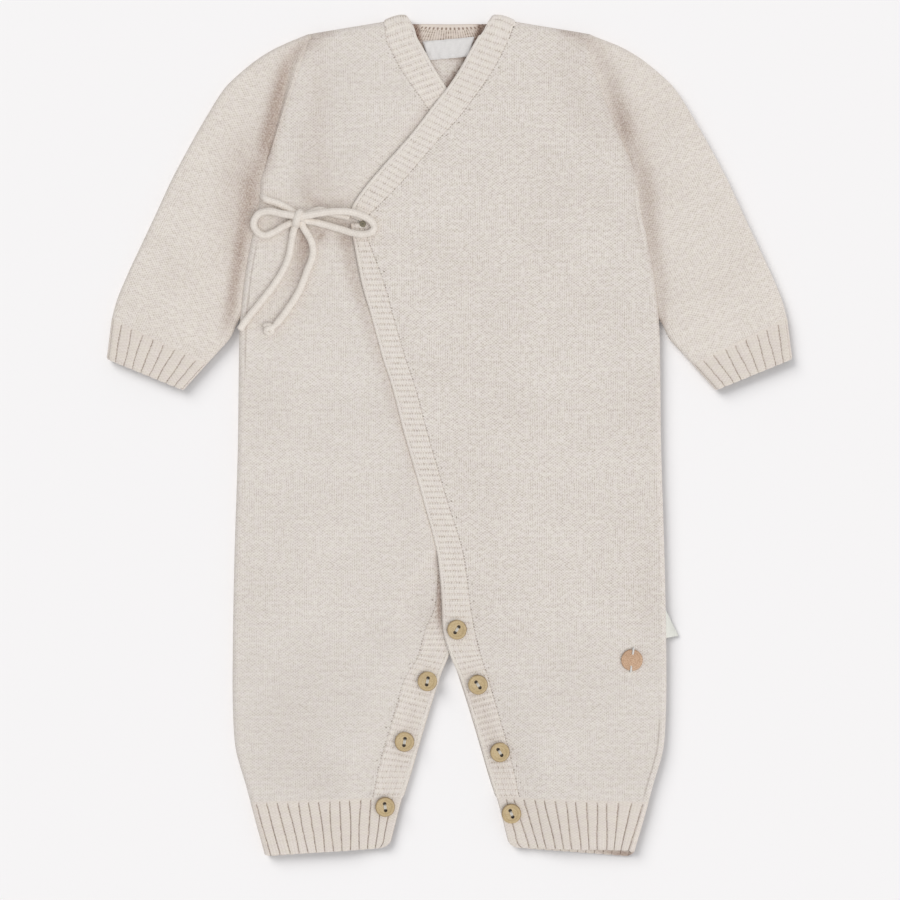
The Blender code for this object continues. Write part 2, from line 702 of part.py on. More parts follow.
def neck_band(finish):
    """One band round the neck: up the over front, over the shoulder, across the back and down."""
    up = Vector((0, 0, 1))
    front = [tuple(r) for r in NECK_FRONT]
    front_length = curve_length([(r.free_x, r.free_y) for r in NECK_FRONT])
    crossing = curve_length([(r.free_x, r.free_y) for r in NECK_FRONT[:5]])
    back_length = curve_length([(r.sewn_x, r.sewn_y) for r in NECK_BACK])
    rows = []

    def front_rows(hand, ribs_to):
        low = front_low(hand)
        stations = band_stations(front_length, NECK_PITCH, ROLL, ribs_to)
        stations = [(s, rise) for s, rise in stations if s * front_length > ROLL - SEAM]
        points = smooth(front, [s for s, _ in stations])
        for (fx, fy, sx, sy), (share, rise) in zip(points, stations):
            settle = ease(share * front_length / NECK_SETTLE)
            ends = []
            for x, y in ((fx, fy), (sx, sy)):
                z = mix(2 * ROLL - CLOTH, low(x, y), settle)
                ends.append(Vector((hand * x, y, z)))
            yield (*ends, up, rise, 0.0)

    def fold_rows(hand):
        first = NECK_FRONT[0]
        for degrees, rise in zip(NECK_FOLD_ANGLES, NECK_FOLD_RISES):
            a = math.radians(degrees)
            out = Vector((0, math.cos(a), math.sin(a)))
            ends = []
            for x, y in ((first.free_x, first.free_y), (first.sewn_x, first.sewn_y)):
                hub = Vector((hand * x, y - ROLL, ROLL))
                ends.append(hub + out * (ROLL - CLOTH))
            yield (*ends, out, rise, 0.0)

    def back_rows(hand):
        stations = band_stations(back_length, NECK_PITCH, 0, back_length)
        table = [tuple(r) for r in NECK_BACK]
        for (fx, fy, sx, sy), (_, rise) in zip(smooth(table, [s for s, _ in stations]), stations):
            ends = [Vector((hand * x, y, CLOTH)) for x, y in ((fx, fy), (sx, sy))]
            yield (*ends, -up, 0.0, rise)

    rows += reversed(list(front_rows(1, front_length)))
    rows += list(fold_rows(1))
    rows += list(back_rows(1))
    rows += reversed(list(back_rows(-1))[:-1])
    rows += reversed(list(fold_rows(-1)))
    rows += list(front_rows(-1, crossing + NECK_RIBS_PAST))
    return strip("neck_band", finish, rows)


def back_leg_band(finish):
    """The band round the back's leg opening: one strip from ankle to ankle through the crotch."""
    down = Vector((0, 0, -1))
    table = [tuple(r) for r in BACK_BAND]
    half = smooth(table, np.linspace(0, 1, BACK_BAND_STEPS) ** 1.5)
    rows = []
    for hand, part in ((-1, half[::-1]), (1, half[1:])):
        for fx, fy, sx, sy in part:
            free, sewn = Vector((hand * fx, fy, CLOTH)), Vector((hand * sx, sy, CLOTH))
            rows.append((free, sewn, down, 0.0, 0.0))
    return strip("back_leg_band", finish, rows)


# Flattened tubes


def flat_ring(near, far, crown, near_edge, far_edge, top_columns, ribs=False):
    """Points round a flattened tube that lies between two points on the surface.

    crown(share) is how far its top stands above the line between its rounded edges.
    """
    near, far = Vector(near), Vector(far)
    width = (far - near).length
    way = (far - near) / width
    r_near, r_far = near_edge / 2, far_edge / 2
    points = []  # (distance across, height) of the outer and of the inner wall
    for share in TUBE_UNDER_COLUMNS:
        d = mix(r_near, width - r_far, share)
        points.append(((d, 0.0), (d, CLOTH)))
    for degrees in (-45, 0, 45):
        a = math.radians(degrees)
        big, small = r_far, r_far - CLOTH
        hub = width - r_far
        points.append((
            (hub + big * math.cos(a), r_far + big * math.sin(a)),
            (hub + small * math.cos(a), r_far + small * math.sin(a)),
        ))
    for k in range(top_columns + 1):
        share = 1 - k / top_columns
        d = mix(r_near, width - r_far, share)
        top = mix(near_edge, far_edge, share) + crown(share)
        rise = RIB_RISE * (k % 2) if ribs else 0.0
        points.append(((d, top + rise), (d, top - CLOTH)))
    for degrees in (135, 180, 225):
        a = math.radians(degrees)
        big, small = r_near, r_near - CLOTH
        points.append((
            (r_near + big * math.cos(a), r_near + big * math.sin(a)),
            (r_near + small * math.cos(a), r_near + small * math.sin(a)),
        ))
    points.append(points[0])

    def placed(pair):
        spot = near + way * pair[0]
        return (spot.x, spot.y, pair[1])

    return [placed(o) for o, _ in points], [placed(i) for _, i in points]


def flat_crown(across):
    return 0.0


def mirrored(rings, hand):
    return [[(hand * x, y, z) for x, y, z in ring] for ring in rings]


def sleeve(name, finish, hand):
    near = smooth([tuple(p) for p in SLEEVE_OUTER], SLEEVE_STATIONS)
    far = smooth([tuple(p) for p in SLEEVE_INNER], SLEEVE_STATIONS)
    outer, inner = [], []
    for share, a, b in zip(SLEEVE_STATIONS, near, far):
        dip = ARMHOLE_DIP * math.exp(-(((share - ARMHOLE_DIP_AT) / ARMHOLE_DIP_WIDTH) ** 2))
        beside_body = 1 - ease((share - BESIDE_BODY) / LEAVES_BODY)
        edge_in = mix(SLEEVE_EDGE, SLEEVE_EDGE_IN, beside_body)

        def crown(across, dip=dip):
            return (SLEEVE_CROWN - dip) * math.sin(math.pi * across) ** 0.6

        o, i = flat_ring(a, b, crown, SLEEVE_EDGE, edge_in, SLEEVE_TOP_COLUMNS)
        outer.append(o)
        inner.append(i)
    return cloth(name, finish, mirrored(outer, hand), mirrored(inner, hand))


def cuff(name, finish, hand):
    outer, inner = [], []
    for share in RIB_STATIONS:
        near = Vector(CUFF_TOP[0]).lerp(Vector(CUFF_END[0]), share)
        far = Vector(CUFF_TOP[1]).lerp(Vector(CUFF_END[1]), share)
        o, i = flat_ring(near, far, flat_crown, CUFF_EDGE, CUFF_EDGE, 2 * CUFF_RIBS, ribs=True)
        outer.append(o)
        inner.append(i)
    return cloth(name, finish, mirrored(outer, hand), mirrored(inner, hand))


def ankle_low(x):
    """Height of the underside of an ankle's front."""
    return mix(LEG_BAND_LOW, EDGE_LOW, ease((abs(x) - ANKLE_BEND_FROM) / ANKLE_BEND_REACH))


def ankle(name, finish, hand):
    """A ribbed ankle: front and back in one, folded at the outside and open at the inside."""
    outer, inner = [], []
    for share in RIB_STATIONS:
        y_out = mix(ANKLE_TOP_OUT, ANKLE_END_OUT, share)
        y_in = mix(ANKLE_TOP_IN, ANKLE_END_IN, share)
        half = half_width(y_out)
        x_in = mix(ANKLE_IN_TOP, ANKLE_IN_END, share)
        short = FRONT_ANKLE_SHORT[hand] * share
        out_row, in_row = [], []
        for k in range(2 * ANKLE_RIBS + 1):
            across = k / (2 * ANKLE_RIBS)
            x = mix(x_in, half - ROLL, across)
            y = mix(y_in, y_out + short, across)
            z = ankle_low(x)
            out_row.append((hand * x, y, z + CLOTH + RIB_RISE * (k % 2)))
            in_row.append((hand * x, y, z))
        for angle in ANKLE_ANGLES:
            a = math.radians(angle)
            turned_under = (ANKLE_ANGLES[0] - angle) / (ANKLE_ANGLES[0] - ANKLE_ANGLES[-1])
            turn = mix(y_out + short, y_out, turned_under)
            big, small = ROLL, ROLL - CLOTH
            for row, radius in ((out_row, big), (in_row, small)):
                x = half - ROLL + radius * math.cos(a)
                row.append((hand * x, turn, ROLL + radius * math.sin(a)))
        for across in ANKLE_UNDER_COLUMNS:
            x = mix(x_in, half - ROLL, across)
            y = mix(y_in, y_out, across)
            out_row.append((hand * x, y, 0.0))
            in_row.append((hand * x, y, CLOTH))
        outer.append(out_row)
        inner.append(in_row)
    return cloth(name, finish, outer, inner)


# Buttons, labels and ties


def turned(name, finish, profile, sides):
    """A solid of revolution about z from (radius, height) pairs that start and end on the axis."""
    bm = bmesh.new()
    verts = [bm.verts.new(Vector((r, 0, z)) * MM) for r, z in profile]
    edges = [bm.edges.new(pair) for pair in zip(verts[:-1], verts[1:])]
    bmesh.ops.spin(
        bm, geom=verts + edges, cent=(0, 0, 0), axis=(0, 0, 1), angle=2 * math.pi,
        steps=sides, use_merge=True,
    )
    bmesh.ops.remove_doubles(bm, verts=bm.verts[:], dist=0.000001)
    return mesh_object(name, bm, finish)


def hole_cutter(x):
    bm = bmesh.new()
    bmesh.ops.create_cone(
        bm, cap_ends=True, segments=HOLE_SIDES, radius1=BUTTON_HOLE * MM, radius2=BUTTON_HOLE * MM,
        depth=4 * BUTTON_THICK * MM, matrix=Matrix.Translation((x * MM, 0, 0)),
    )
    cutter = mesh_object("hole_cutter", bm, material("cutter", (0.5, 0.5, 0.5), 0.5))
    cutter.hide_render = True
    cutter.display_type = "WIRE"
    return cutter


def button_blank(finish):
    """One button's mesh: a dished disc with a rim and two holes through it."""
    r, t = BUTTON_RADIUS, BUTTON_THICK
    rim, dished = r - BUTTON_RIM, t - BUTTON_DISH
    profile = (
        (0, 0), (r - BUTTON_ROUND, 0), (r, BUTTON_ROUND), (r, t - BUTTON_ROUND),
        (r - BUTTON_ROUND, t), (rim + BUTTON_DISH, t), (rim, dished), (0, dished),
    )
    blank = turned("button_blank", finish, profile, BUTTON_SIDES)
    for x in (-BUTTON_HOLE_SPACING / 2, BUTTON_HOLE_SPACING / 2):
        cut = blank.modifiers.new("hole", "BOOLEAN")
        cut.operation = "DIFFERENCE"
        cut.object = hole_cutter(x)
    bpy.context.view_layer.update()
    graph = bpy.context.evaluated_depsgraph_get()
    mesh = bpy.data.meshes.new_from_object(blank.evaluated_get(graph))
    bpy.data.objects.remove(blank, do_unlink=True)
    for cutter in [o for o in bpy.data.objects if o.name.startswith("hole_cutter")]:
        bpy.data.objects.remove(cutter, do_unlink=True)
    return mesh


def band_top(x, y):
    """Height of the ribs under a button."""
    if y < ANKLE_TOP_IN:
        low = ankle_low(x)
    else:
        low = over_low(x, y) if x > over_free(y) else under_low(x, y)
    return low + CLOTH + RIB_RISE


def around(radius):
    turns = np.linspace(0, 2 * math.pi, 8, endpoint=False)
    return [(radius * math.cos(a), radius * math.sin(a)) for a in turns]


def buttons(finish):
    mesh = button_blank(finish)
    for b in BUTTONS:
        obj = bpy.data.objects.new(b.name, mesh)
        bpy.context.scene.collection.objects.link(obj)
        reach = [band_top(b.x + dx, b.y + dy) for dx, dy in around(BUTTON_RADIUS)]
        obj.location = (b.x * MM, b.y * MM, (max(reach) + SEAM) * MM)
        obj.rotation_euler = (0, 0, math.radians(90 - b.turn))


def disc(finish):
    r, t = DISC_RADIUS, DISC_THICK
    soft = DISC_ROUND
    profile = ((0, 0), (r - soft, 0), (r, soft), (r, t - soft), (r - soft, t), (0, t))
    obj = turned("trim_disc", finish, profile, BUTTON_SIDES)
    heights = [over_low(DISC.x + dx, DISC.y + dy) for dx, dy in around(r)]
    obj.location = (DISC.x * MM, DISC.y * MM, (max(heights) + CLOTH + SEAM) * MM)


def slab(name, finish, corners, lows, thick):
    """A flat piece with the given corners; lows are the heights of its underside there."""
    bm = bmesh.new()
    face = bm.faces.new([bm.verts.new(Vector((p.x, p.y, z)) * MM) for p, z in zip(corners, lows)])
    made = bmesh.ops.extrude_face_region(bm, geom=[face])
    raised = [v for v in made["geom"] if isinstance(v, bmesh.types.BMVert)]
    bmesh.ops.translate(bm, verts=raised, vec=(0, 0, thick * MM))
    return mesh_object(name, bm, finish)


def strand(name, finish, spots, from_knot, to_knot=None):
    """A tube of cord along its spots, less the ends that belong to a knot."""
    length = curve_length(spots)
    start = (from_knot + KNOT_GAP) / length
    end = 1.0 - (to_knot + KNOT_GAP if to_knot else 0.0) / length
    count = max(4, round(length * (end - start) / TIE_SPACING) + 1)
    data = bpy.data.curves.new(name, "CURVE")
    data.dimensions = "3D"
    data.bevel_depth = TIE_DIAMETER / 2 * MM
    data.bevel_resolution = 2
    data.use_fill_caps = True
    line = data.splines.new("POLY")
    line.points.add(count - 1)
    for point, spot in zip(line.points, smooth(spots, np.linspace(start, end, count))):
        point.co = (*(Vector(spot) * MM), 1.0)
    return add_object(name, data, finish)


def stub(spots, backwards=False):
    """The stretch of a strand that belongs to the knot, as a hidden tube."""
    line = list(reversed(spots)) if backwards else list(spots)
    share = TIE_ROOT / curve_length(line)
    bm = bmesh.new()
    places = [0, 0.4 * share, share, 1.3 * share]
    *path, beyond = [Vector(p) * MM for p in smooth(line, places)]
    rings = []
    for k, p in enumerate(path):
        ahead = (path[k + 1] if k + 1 < len(path) else beyond) - path[max(k - 1, 0)]
        turn = ahead.to_track_quat("Z", "Y").to_matrix().to_4x4()
        ring = bmesh.ops.create_circle(
            bm, segments=TIE_SIDES, radius=TIE_DIAMETER / 2 * MM, matrix=Matrix.Translation(p) @ turn,
        )["verts"]
        rings.append(ring)
    for a, b in zip(rings[:-1], rings[1:]):
        for k in range(TIE_SIDES):
            after = (k + 1) % TIE_SIDES
            bm.faces.new((a[k], a[after], b[after], b[k]))
    bm.faces.new(rings[0])
    bm.faces.new(rings[-1])
    obj = mesh_object("knot_stub", bm, material("stub", (0.5, 0.5, 0.5), 0.5))
    obj.hide_render = True
    obj.display_type = "WIRE"
    return obj


def ball(name, finish, centre, half):
    bm = bmesh.new()
    place = Matrix.Translation(centre * MM) @ Matrix.Diagonal((*(Vector(half) * MM), 1.0))
    bmesh.ops.create_uvsphere(
        bm, u_segments=KNOT_SIDES, v_segments=KNOT_RINGS, radius=1.0, matrix=place
    )
    return mesh_object(name, bm, finish)


def ties(finish):
    strand("tie_left_lead", finish, LEFT_LEAD, TIE_ROOT)
    strand("tie_left_loop", finish, LEFT_LOOP, TIE_ROOT, TIE_ROOT)
    strand("tie_left_tail", finish, LEFT_TAIL, TIE_ROOT)
    strand("tie_right_lead", finish, RIGHT_LEAD, TIE_ROOT)
    strand("tie_right_loop", finish, RIGHT_LOOP, TIE_ROOT, TIE_ROOT)
    strand("tie_right_tail", finish, RIGHT_TAIL, TIE_ROOT)
    ball("tie_end_knot", finish, END_KNOT, END_KNOT_HALF)
    knot = ball("tie_knot", finish, KNOT, KNOT_HALF)
    roots = [stub(s) for s in (LEFT_LEAD, LEFT_LOOP, LEFT_TAIL, RIGHT_LEAD, RIGHT_LOOP, RIGHT_TAIL)]
    roots += [stub(s, backwards=True) for s in (LEFT_LOOP, RIGHT_LOOP)]
    for root in roots:
        join = knot.modifiers.new("root", "BOOLEAN")
        join.operation = "UNION"
        join.object = root


def main():
    clear_scene()
    body = material("body_knit", (0.75, 0.68, 0.63), 0.9)
    arms = material("sleeve_knit", (0.67, 0.62, 0.57), 0.9)
    rib = material("rib_knit", (0.70, 0.64, 0.59), 0.9)
    cord = material("knitted_cord", (0.78, 0.72, 0.67), 0.9)
    wood = material("button_wood", (0.55, 0.42, 0.25), 0.5)
    disc_wood = material("disc_wood", (0.52, 0.31, 0.21), 0.5)
    woven = material("woven_label", (0.82, 0.82, 0.82), 0.7)
    tape = material("side_tag_tape", (0.84, 0.85, 0.76), 0.7)

    back_panel(body)
    back_leg_band(rib)
    front_panel("front_over", body, 1, over_sewn_low)
    front_panel("front_under", body, -1, under_sewn_low)
    neck_band(rib)
    wrap_band("over_wrap_band", rib, 1, WRAP_EDGE + OVER_LEG, 0)
    hidden = curve_length([(r.free, r.y) for r in WRAP_EDGE]) - UNDER_RIBS_SHOW
    wrap_band("under_wrap_band", rib, -1, WRAP_EDGE + UNDER_LEG, hidden)
    for side, hand in (("left", -1), ("right", 1)):
        sleeve(f"sleeve_{side}", arms, hand)
        cuff(f"cuff_{side}", rib, hand)
        ankle(f"ankle_{side}", rib, hand)
    buttons(wood)
    disc(disc_wood)
    slab("neck_label", woven, NECK_LABEL, [FACING_BACK] * 4, NECK_LABEL_THICK)
    tag_lows = (SIDE_TAG_ROOT, SIDE_TAG_TIP, SIDE_TAG_ROOT)
    slab("side_tag", tape, SIDE_TAG, tag_lows, SIDE_TAG_THICK)
    ties(cord)


main()
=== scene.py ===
"""A knitted wrap romper for a newborn, dressed in its yarns: knitted walls, ribbed bands, cord ties,
wooden buttons and blank labels, laid face up on a pale surface.

Axes: +X to the right of someone looking down at the front, +Y towards the neck, +Z up.
Numbers in the tables are millimetres.
"""

import json
import math
from collections import namedtuple

import bmesh
import bpy
import numpy as np
from mathutils import Matrix, Vector
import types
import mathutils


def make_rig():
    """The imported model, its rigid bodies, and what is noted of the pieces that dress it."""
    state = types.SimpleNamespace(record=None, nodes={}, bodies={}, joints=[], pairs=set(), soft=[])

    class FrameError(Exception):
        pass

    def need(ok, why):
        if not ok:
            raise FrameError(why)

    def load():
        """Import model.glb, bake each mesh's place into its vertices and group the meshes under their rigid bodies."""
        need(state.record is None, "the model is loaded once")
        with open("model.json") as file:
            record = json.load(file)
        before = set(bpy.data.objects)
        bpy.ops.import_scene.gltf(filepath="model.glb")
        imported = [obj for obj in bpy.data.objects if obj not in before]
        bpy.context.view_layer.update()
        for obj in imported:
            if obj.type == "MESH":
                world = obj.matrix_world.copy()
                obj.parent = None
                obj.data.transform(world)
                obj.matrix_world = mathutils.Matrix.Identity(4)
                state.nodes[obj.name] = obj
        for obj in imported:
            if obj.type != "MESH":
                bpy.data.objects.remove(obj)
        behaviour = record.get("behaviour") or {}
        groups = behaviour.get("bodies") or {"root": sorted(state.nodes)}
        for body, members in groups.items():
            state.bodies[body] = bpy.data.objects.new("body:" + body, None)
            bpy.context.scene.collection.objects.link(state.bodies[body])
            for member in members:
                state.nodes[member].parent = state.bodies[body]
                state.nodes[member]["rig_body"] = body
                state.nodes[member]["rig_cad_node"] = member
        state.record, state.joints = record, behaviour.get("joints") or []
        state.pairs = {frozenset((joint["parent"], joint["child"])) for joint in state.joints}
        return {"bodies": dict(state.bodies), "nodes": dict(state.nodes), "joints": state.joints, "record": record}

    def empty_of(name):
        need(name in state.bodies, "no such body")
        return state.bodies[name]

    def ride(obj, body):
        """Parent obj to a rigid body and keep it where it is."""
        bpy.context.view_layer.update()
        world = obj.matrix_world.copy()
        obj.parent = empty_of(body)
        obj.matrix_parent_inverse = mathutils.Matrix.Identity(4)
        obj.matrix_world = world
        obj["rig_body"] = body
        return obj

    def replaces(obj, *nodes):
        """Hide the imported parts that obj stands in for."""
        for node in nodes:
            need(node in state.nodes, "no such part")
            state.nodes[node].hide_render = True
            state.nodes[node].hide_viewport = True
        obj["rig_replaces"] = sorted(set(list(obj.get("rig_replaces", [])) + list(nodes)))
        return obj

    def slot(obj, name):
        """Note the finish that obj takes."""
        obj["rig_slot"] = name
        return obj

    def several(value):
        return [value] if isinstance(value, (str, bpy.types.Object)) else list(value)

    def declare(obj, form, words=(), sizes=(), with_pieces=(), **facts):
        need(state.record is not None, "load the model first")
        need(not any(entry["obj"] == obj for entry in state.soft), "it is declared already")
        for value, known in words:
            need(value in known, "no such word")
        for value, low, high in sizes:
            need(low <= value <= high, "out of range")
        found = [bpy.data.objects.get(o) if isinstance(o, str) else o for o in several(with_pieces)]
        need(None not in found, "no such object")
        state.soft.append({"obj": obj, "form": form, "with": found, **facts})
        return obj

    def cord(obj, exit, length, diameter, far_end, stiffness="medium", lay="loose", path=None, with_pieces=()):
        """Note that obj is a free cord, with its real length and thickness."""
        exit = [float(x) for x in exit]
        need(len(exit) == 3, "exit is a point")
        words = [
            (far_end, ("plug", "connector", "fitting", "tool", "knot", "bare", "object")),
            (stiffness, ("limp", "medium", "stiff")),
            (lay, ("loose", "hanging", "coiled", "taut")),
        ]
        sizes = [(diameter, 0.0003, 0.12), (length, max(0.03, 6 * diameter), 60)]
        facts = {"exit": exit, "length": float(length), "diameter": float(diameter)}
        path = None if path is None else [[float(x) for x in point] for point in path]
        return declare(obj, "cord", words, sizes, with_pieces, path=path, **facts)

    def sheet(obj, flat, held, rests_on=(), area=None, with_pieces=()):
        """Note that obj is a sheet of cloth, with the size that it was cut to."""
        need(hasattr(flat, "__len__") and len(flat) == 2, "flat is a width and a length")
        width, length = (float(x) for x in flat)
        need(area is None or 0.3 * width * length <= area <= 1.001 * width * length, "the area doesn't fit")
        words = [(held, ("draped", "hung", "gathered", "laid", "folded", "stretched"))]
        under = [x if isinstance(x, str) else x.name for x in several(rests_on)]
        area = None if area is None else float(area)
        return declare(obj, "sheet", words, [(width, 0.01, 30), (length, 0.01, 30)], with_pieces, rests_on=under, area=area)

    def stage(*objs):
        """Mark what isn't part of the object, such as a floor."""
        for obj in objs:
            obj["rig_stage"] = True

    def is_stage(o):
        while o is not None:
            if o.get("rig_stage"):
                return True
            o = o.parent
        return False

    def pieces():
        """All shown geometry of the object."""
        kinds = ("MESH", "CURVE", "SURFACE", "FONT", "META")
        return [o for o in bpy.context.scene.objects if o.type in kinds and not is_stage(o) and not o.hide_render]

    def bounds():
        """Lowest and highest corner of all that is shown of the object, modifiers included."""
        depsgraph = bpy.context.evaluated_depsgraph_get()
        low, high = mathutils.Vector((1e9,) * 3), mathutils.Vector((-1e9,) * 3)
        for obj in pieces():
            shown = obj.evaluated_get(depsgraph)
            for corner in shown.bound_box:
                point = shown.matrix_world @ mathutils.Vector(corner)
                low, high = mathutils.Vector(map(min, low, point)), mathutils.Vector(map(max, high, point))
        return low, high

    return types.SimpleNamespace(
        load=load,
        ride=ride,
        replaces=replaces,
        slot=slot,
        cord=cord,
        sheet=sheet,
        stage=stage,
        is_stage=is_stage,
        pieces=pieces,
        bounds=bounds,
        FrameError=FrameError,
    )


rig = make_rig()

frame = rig.load()
solid_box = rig.bounds()

MM = 0.001


def each(kind, *table):
    """A table's rows, each of one kind."""
    return tuple(kind(*row) for row in table)


# Cloth and seams
CLOTH = 1.5  # wall of the knitted cloth
SEAM = 0.3  # air between pieces that are sewn together
RIB_RISE = 0.45  # how far a rib stands above the groove beside it
FACING_BACK = CLOTH + SEAM  # lowest height of a layer that lies on the back

# Heights of the underside of each front layer
UNDER_COVERED = FACING_BACK
UNDER_OPEN = 4.4
OVER_LOW = 4.1
EDGE_LOW = 4.4
LEG_BAND_LOW = 2.2
CROTCH_LIFT = 0.35
VALLEY_WIDTH = 13.0  # the strip in which the under front rises, beside the over front
CROTCH_VALLEY = 12.0  # how much further that strip lies from the edge at the crotch
CROTCH_FROM, CROTCH_GAINS = -60, 30  # where it starts to
EDGE_GAP = 0.5  # SEAM, and room for the curves' facets

# How far the heights take to change
EDGE_REACH = 25.0  # in from the sides
SHOULDER_START, SHOULDER_REACH = 195.0, 18.0
CROTCH_START, CROTCH_REACH = -78.0, 14.0
OVER_LEG_START, OVER_LEG_REACH = -117.0, 22.0
UNDER_LEG_START, UNDER_LEG_REACH = -108.0, 24.0
INSEAM_REACH = 20.0  # from the inseam band's height up to the leg's
NECK_SETTLE = 12.0  # from the shoulder fold's height down to the front's
FOLDS_FROM_EDGE, FOLDS_REACH = 60.0, 20.0

# Rows and columns of the panels
FIRST_ROW = 0.01
SHOULDER_STEP = 0.2  # the panels' top corner lies this far below the neck band's

# The rounded sides, where the back comes up round the edge to meet the front
ROLL = 3.0
ROLL_REACH = 5.0  # below the armpit, where the roll starts

# The body's outline: half its width at each height
Side = namedtuple("Side", "y half")
SHOULDER_TIP = Side(216.5, 75.2)
ARMPIT = Side(138.0, 102.0)
SIDES = (
    ARMPIT,
    *each(
        Side,
        (121, 103.4), (107, 106.5), (92, 109.4), (77, 111.5), (60, 113.0), (40, 113.5), (-8, 114.1),
        (-56, 115.6), (-89, 116.4), (-130, 116.9), (-150, 116.6), (-162, 116.0), (-170, 115.0), (-178, 112.9),
        (-186, 110.4), (-194, 108.2), (-202, 106.0), (-210, 103.9), (-218, 101.7), (-227, 99.2),
    ),
)

# The neck band on the front: its free edge, and the edge sewn to the front
BandRow = namedtuple("BandRow", "free_x free_y sewn_x sewn_y")
NECK_FRONT = each(
    BandRow,
    (20.3, 224.9, 35.4, 223.3), (17.0, 217.5, 31.8, 213.2), (11.6, 208.2, 26.7, 202.8),
    (6.3, 198.6, 21.3, 193.2), (-0.8, 187.7, 13.4, 182.2), (-8.5, 178.0, 4.9, 171.0),
    (-17.5, 166.0, -5.0, 160.2), (-27.0, 154.8, -14.8, 149.0), (-37.0, 143.7, -25.0, 137.2),
    (-46.3, 132.6, -34.9, 127.0), (-52.2, 123.6, -42.6, 119.4), (-53.4, 117.6, -47.2, 115.0),
)
# The same band across the back of the neck, from the fold on the shoulder to the middle
NECK_BACK = each(
    BandRow,
    (20.3, 221.9, 35.4, 220.3), (19.6, 221.7, 33.6, 217.2), (17.6, 221.8, 27.6, 215.2),
    (13.6, 221.9, 19.6, 214.4), (7.0, 221.8, 9.4, 214.1), (0.0, 221.7, 0.0, 214.0),
)
Point = namedtuple("Point", "x y")
# The back's own neckline, just below that band, and where it meets the shoulder
BACK_NECKLINE = each(Point, (0, 213.5), (9.4, 213.6), (19.6, 213.8), (27.8, 214.5), (33.4, 215.9), (34.7, 216.9))
BACK_SHOULDER = Point(36.0, 222.6)

# The wrap edge: the band from the corner of the front down to the crotch
WrapRow = namedtuple("WrapRow", "y free sewn")
WRAP_EDGE = each(
    WrapRow,
    (114.0, -53.4, -46.9), (104.0, -51.6, -43.5), (82.0, -47.3, -35.3), (62.0, -41.6, -29.8),
    (42.0, -36.2, -24.0), (26.0, -31.0, -18.6), (3.0, -25.1, -12.4), (-13.0, -20.5, -7.8), (-37.0, -13.6, -0.7),
    (-60.0, -7.5, 6.4), (-76.0, -5.2, 9.2), (-90.0, -4.3, 10.9), (-104.0, -3.5, 13.2), (-118.0, 0.2, 16.6),
)
# Down the inside of the leg, where the free edge is the outline
OVER_LEG = each(
    WrapRow,
    (-131.0, 5.7, 20.8), (-147.0, 10.8, 25.4), (-165.0, 16.2, 30.6), (-181.0, 20.8, 34.6), (-195.2, 25.2, 37.6),
)
UNDER_LEG = each(
    WrapRow,
    (-131.0, 5.7, 24.0), (-147.0, 10.8, 28.8), (-165.0, 16.2, 34.2), (-181.0, 20.8, 38.4), (-195.2, 25.2, 41.2),
)
# The band on the back's leg edges, from the middle of the crotch down
BACK_BAND = each(
    BandRow,
    (0.0, -117.2, 0.0, -103.0), (0.3, -117.6, 6.2, -104.6), (0.8, -118.6, 11.2, -109.2),
    (2.0, -121.6, 15.0, -116.5), (5.2, -131.0, 18.6, -127.5), (10.3, -147.0, 23.4, -144.0),
    (15.7, -165.0, 28.4, -162.0), (20.3, -181.0, 32.6, -178.4), (24.6, -194.4, 36.4, -192.6),
)

# Lower ends of the panels, where the ankle ribs start, and of the ribs
ANKLE_TOP_OUT, ANKLE_TOP_IN = -197.0, -194.6
ANKLE_END_OUT, ANKLE_END_IN = -226.6, -221.9
FRONT_ANKLE_SHORT = {1: 3.6, -1: 1.2}  # how much the front of each ankle stops short of its back
ANKLE_RIBS = 14
ANKLE_IN_TOP, ANKLE_IN_END = 25.4, 32.4  # inner edge of the ankle at its top and end
ANKLE_BEND_FROM, ANKLE_BEND_REACH = 40.0, 20.0  # where its front rises towards the outside

# The sleeve's two edges, from the armhole to the cuff
SLEEVE_OUTER = each(
    Point,
    (75.8, 216.3), (86.0, 212.2), (95.5, 207.7), (104.5, 202.0), (114.0, 194.2), (122.0, 186.0), (131.8, 170.4),
    (141.0, 154.2), (149.6, 138.0), (157.1, 121.8), (164.7, 105.6), (172.3, 89.4), (179.0, 73.6), (181.9, 63.0),
)
SLEEVE_INNER = each(
    Point,
    (102.9, 137.8), (104.4, 121.0), (107.5, 107.0), (110.4, 92.0), (112.6, 77.0), (114.6, 62.0), (118.0, 52.8),
    (124.2, 45.6), (130.8, 38.4),
)
SLEEVE_EDGE = 5.6  # height of the rounded outer edge
SLEEVE_EDGE_IN = 4.4  # height of the edge that lies beside the body
SLEEVE_CROWN = 1.0  # how far the middle stands above the edges
BESIDE_BODY, LEAVES_BODY = 0.55, 0.25  # where the inner edge thickens, as shares of the sleeve
CUFF_TOP = each(Point, (182.0, 62.4), (131.1, 37.9))
CUFF_END = each(Point, (184.6, 41.4), (143.4, 24.5))
CUFF_RIBS = 9
CUFF_EDGE = 5.6

# Rib pitches along the bands
WRAP_PITCH = 3.13
NECK_PITCH = 3.55
PLAIN_PITCH = 9.0  # between rows where a band is hidden and so has no ribs
UNDER_RIBS_SHOW = 22.0  # the length above the crotch where the under band's ribs start
NECK_RIBS_PAST = 6.0  # how far the under side's ribs run on beneath the over side

# Largest soft folds of the fronts: a trough between two points
Fold = namedtuple("Fold", "x1 y1 x2 y2 half_width depth")
UNDER_FOLDS = each(
    Fold,
    (-66, 196, -64, 132, 9, 0.9), (-92, 165, -86, 130, 6, 0.7), (-58, 128, -70, 121, 7, 0.9),
    (-60, 60, -84, -20, 14, 0.5),
)
OVER_FOLDS = each(Fold, (62, 206, 50, 150, 12, 0.45), (96, 120, 70, 60, 14, 0.5), (104, -60, 102, -150, 8, 0.5))

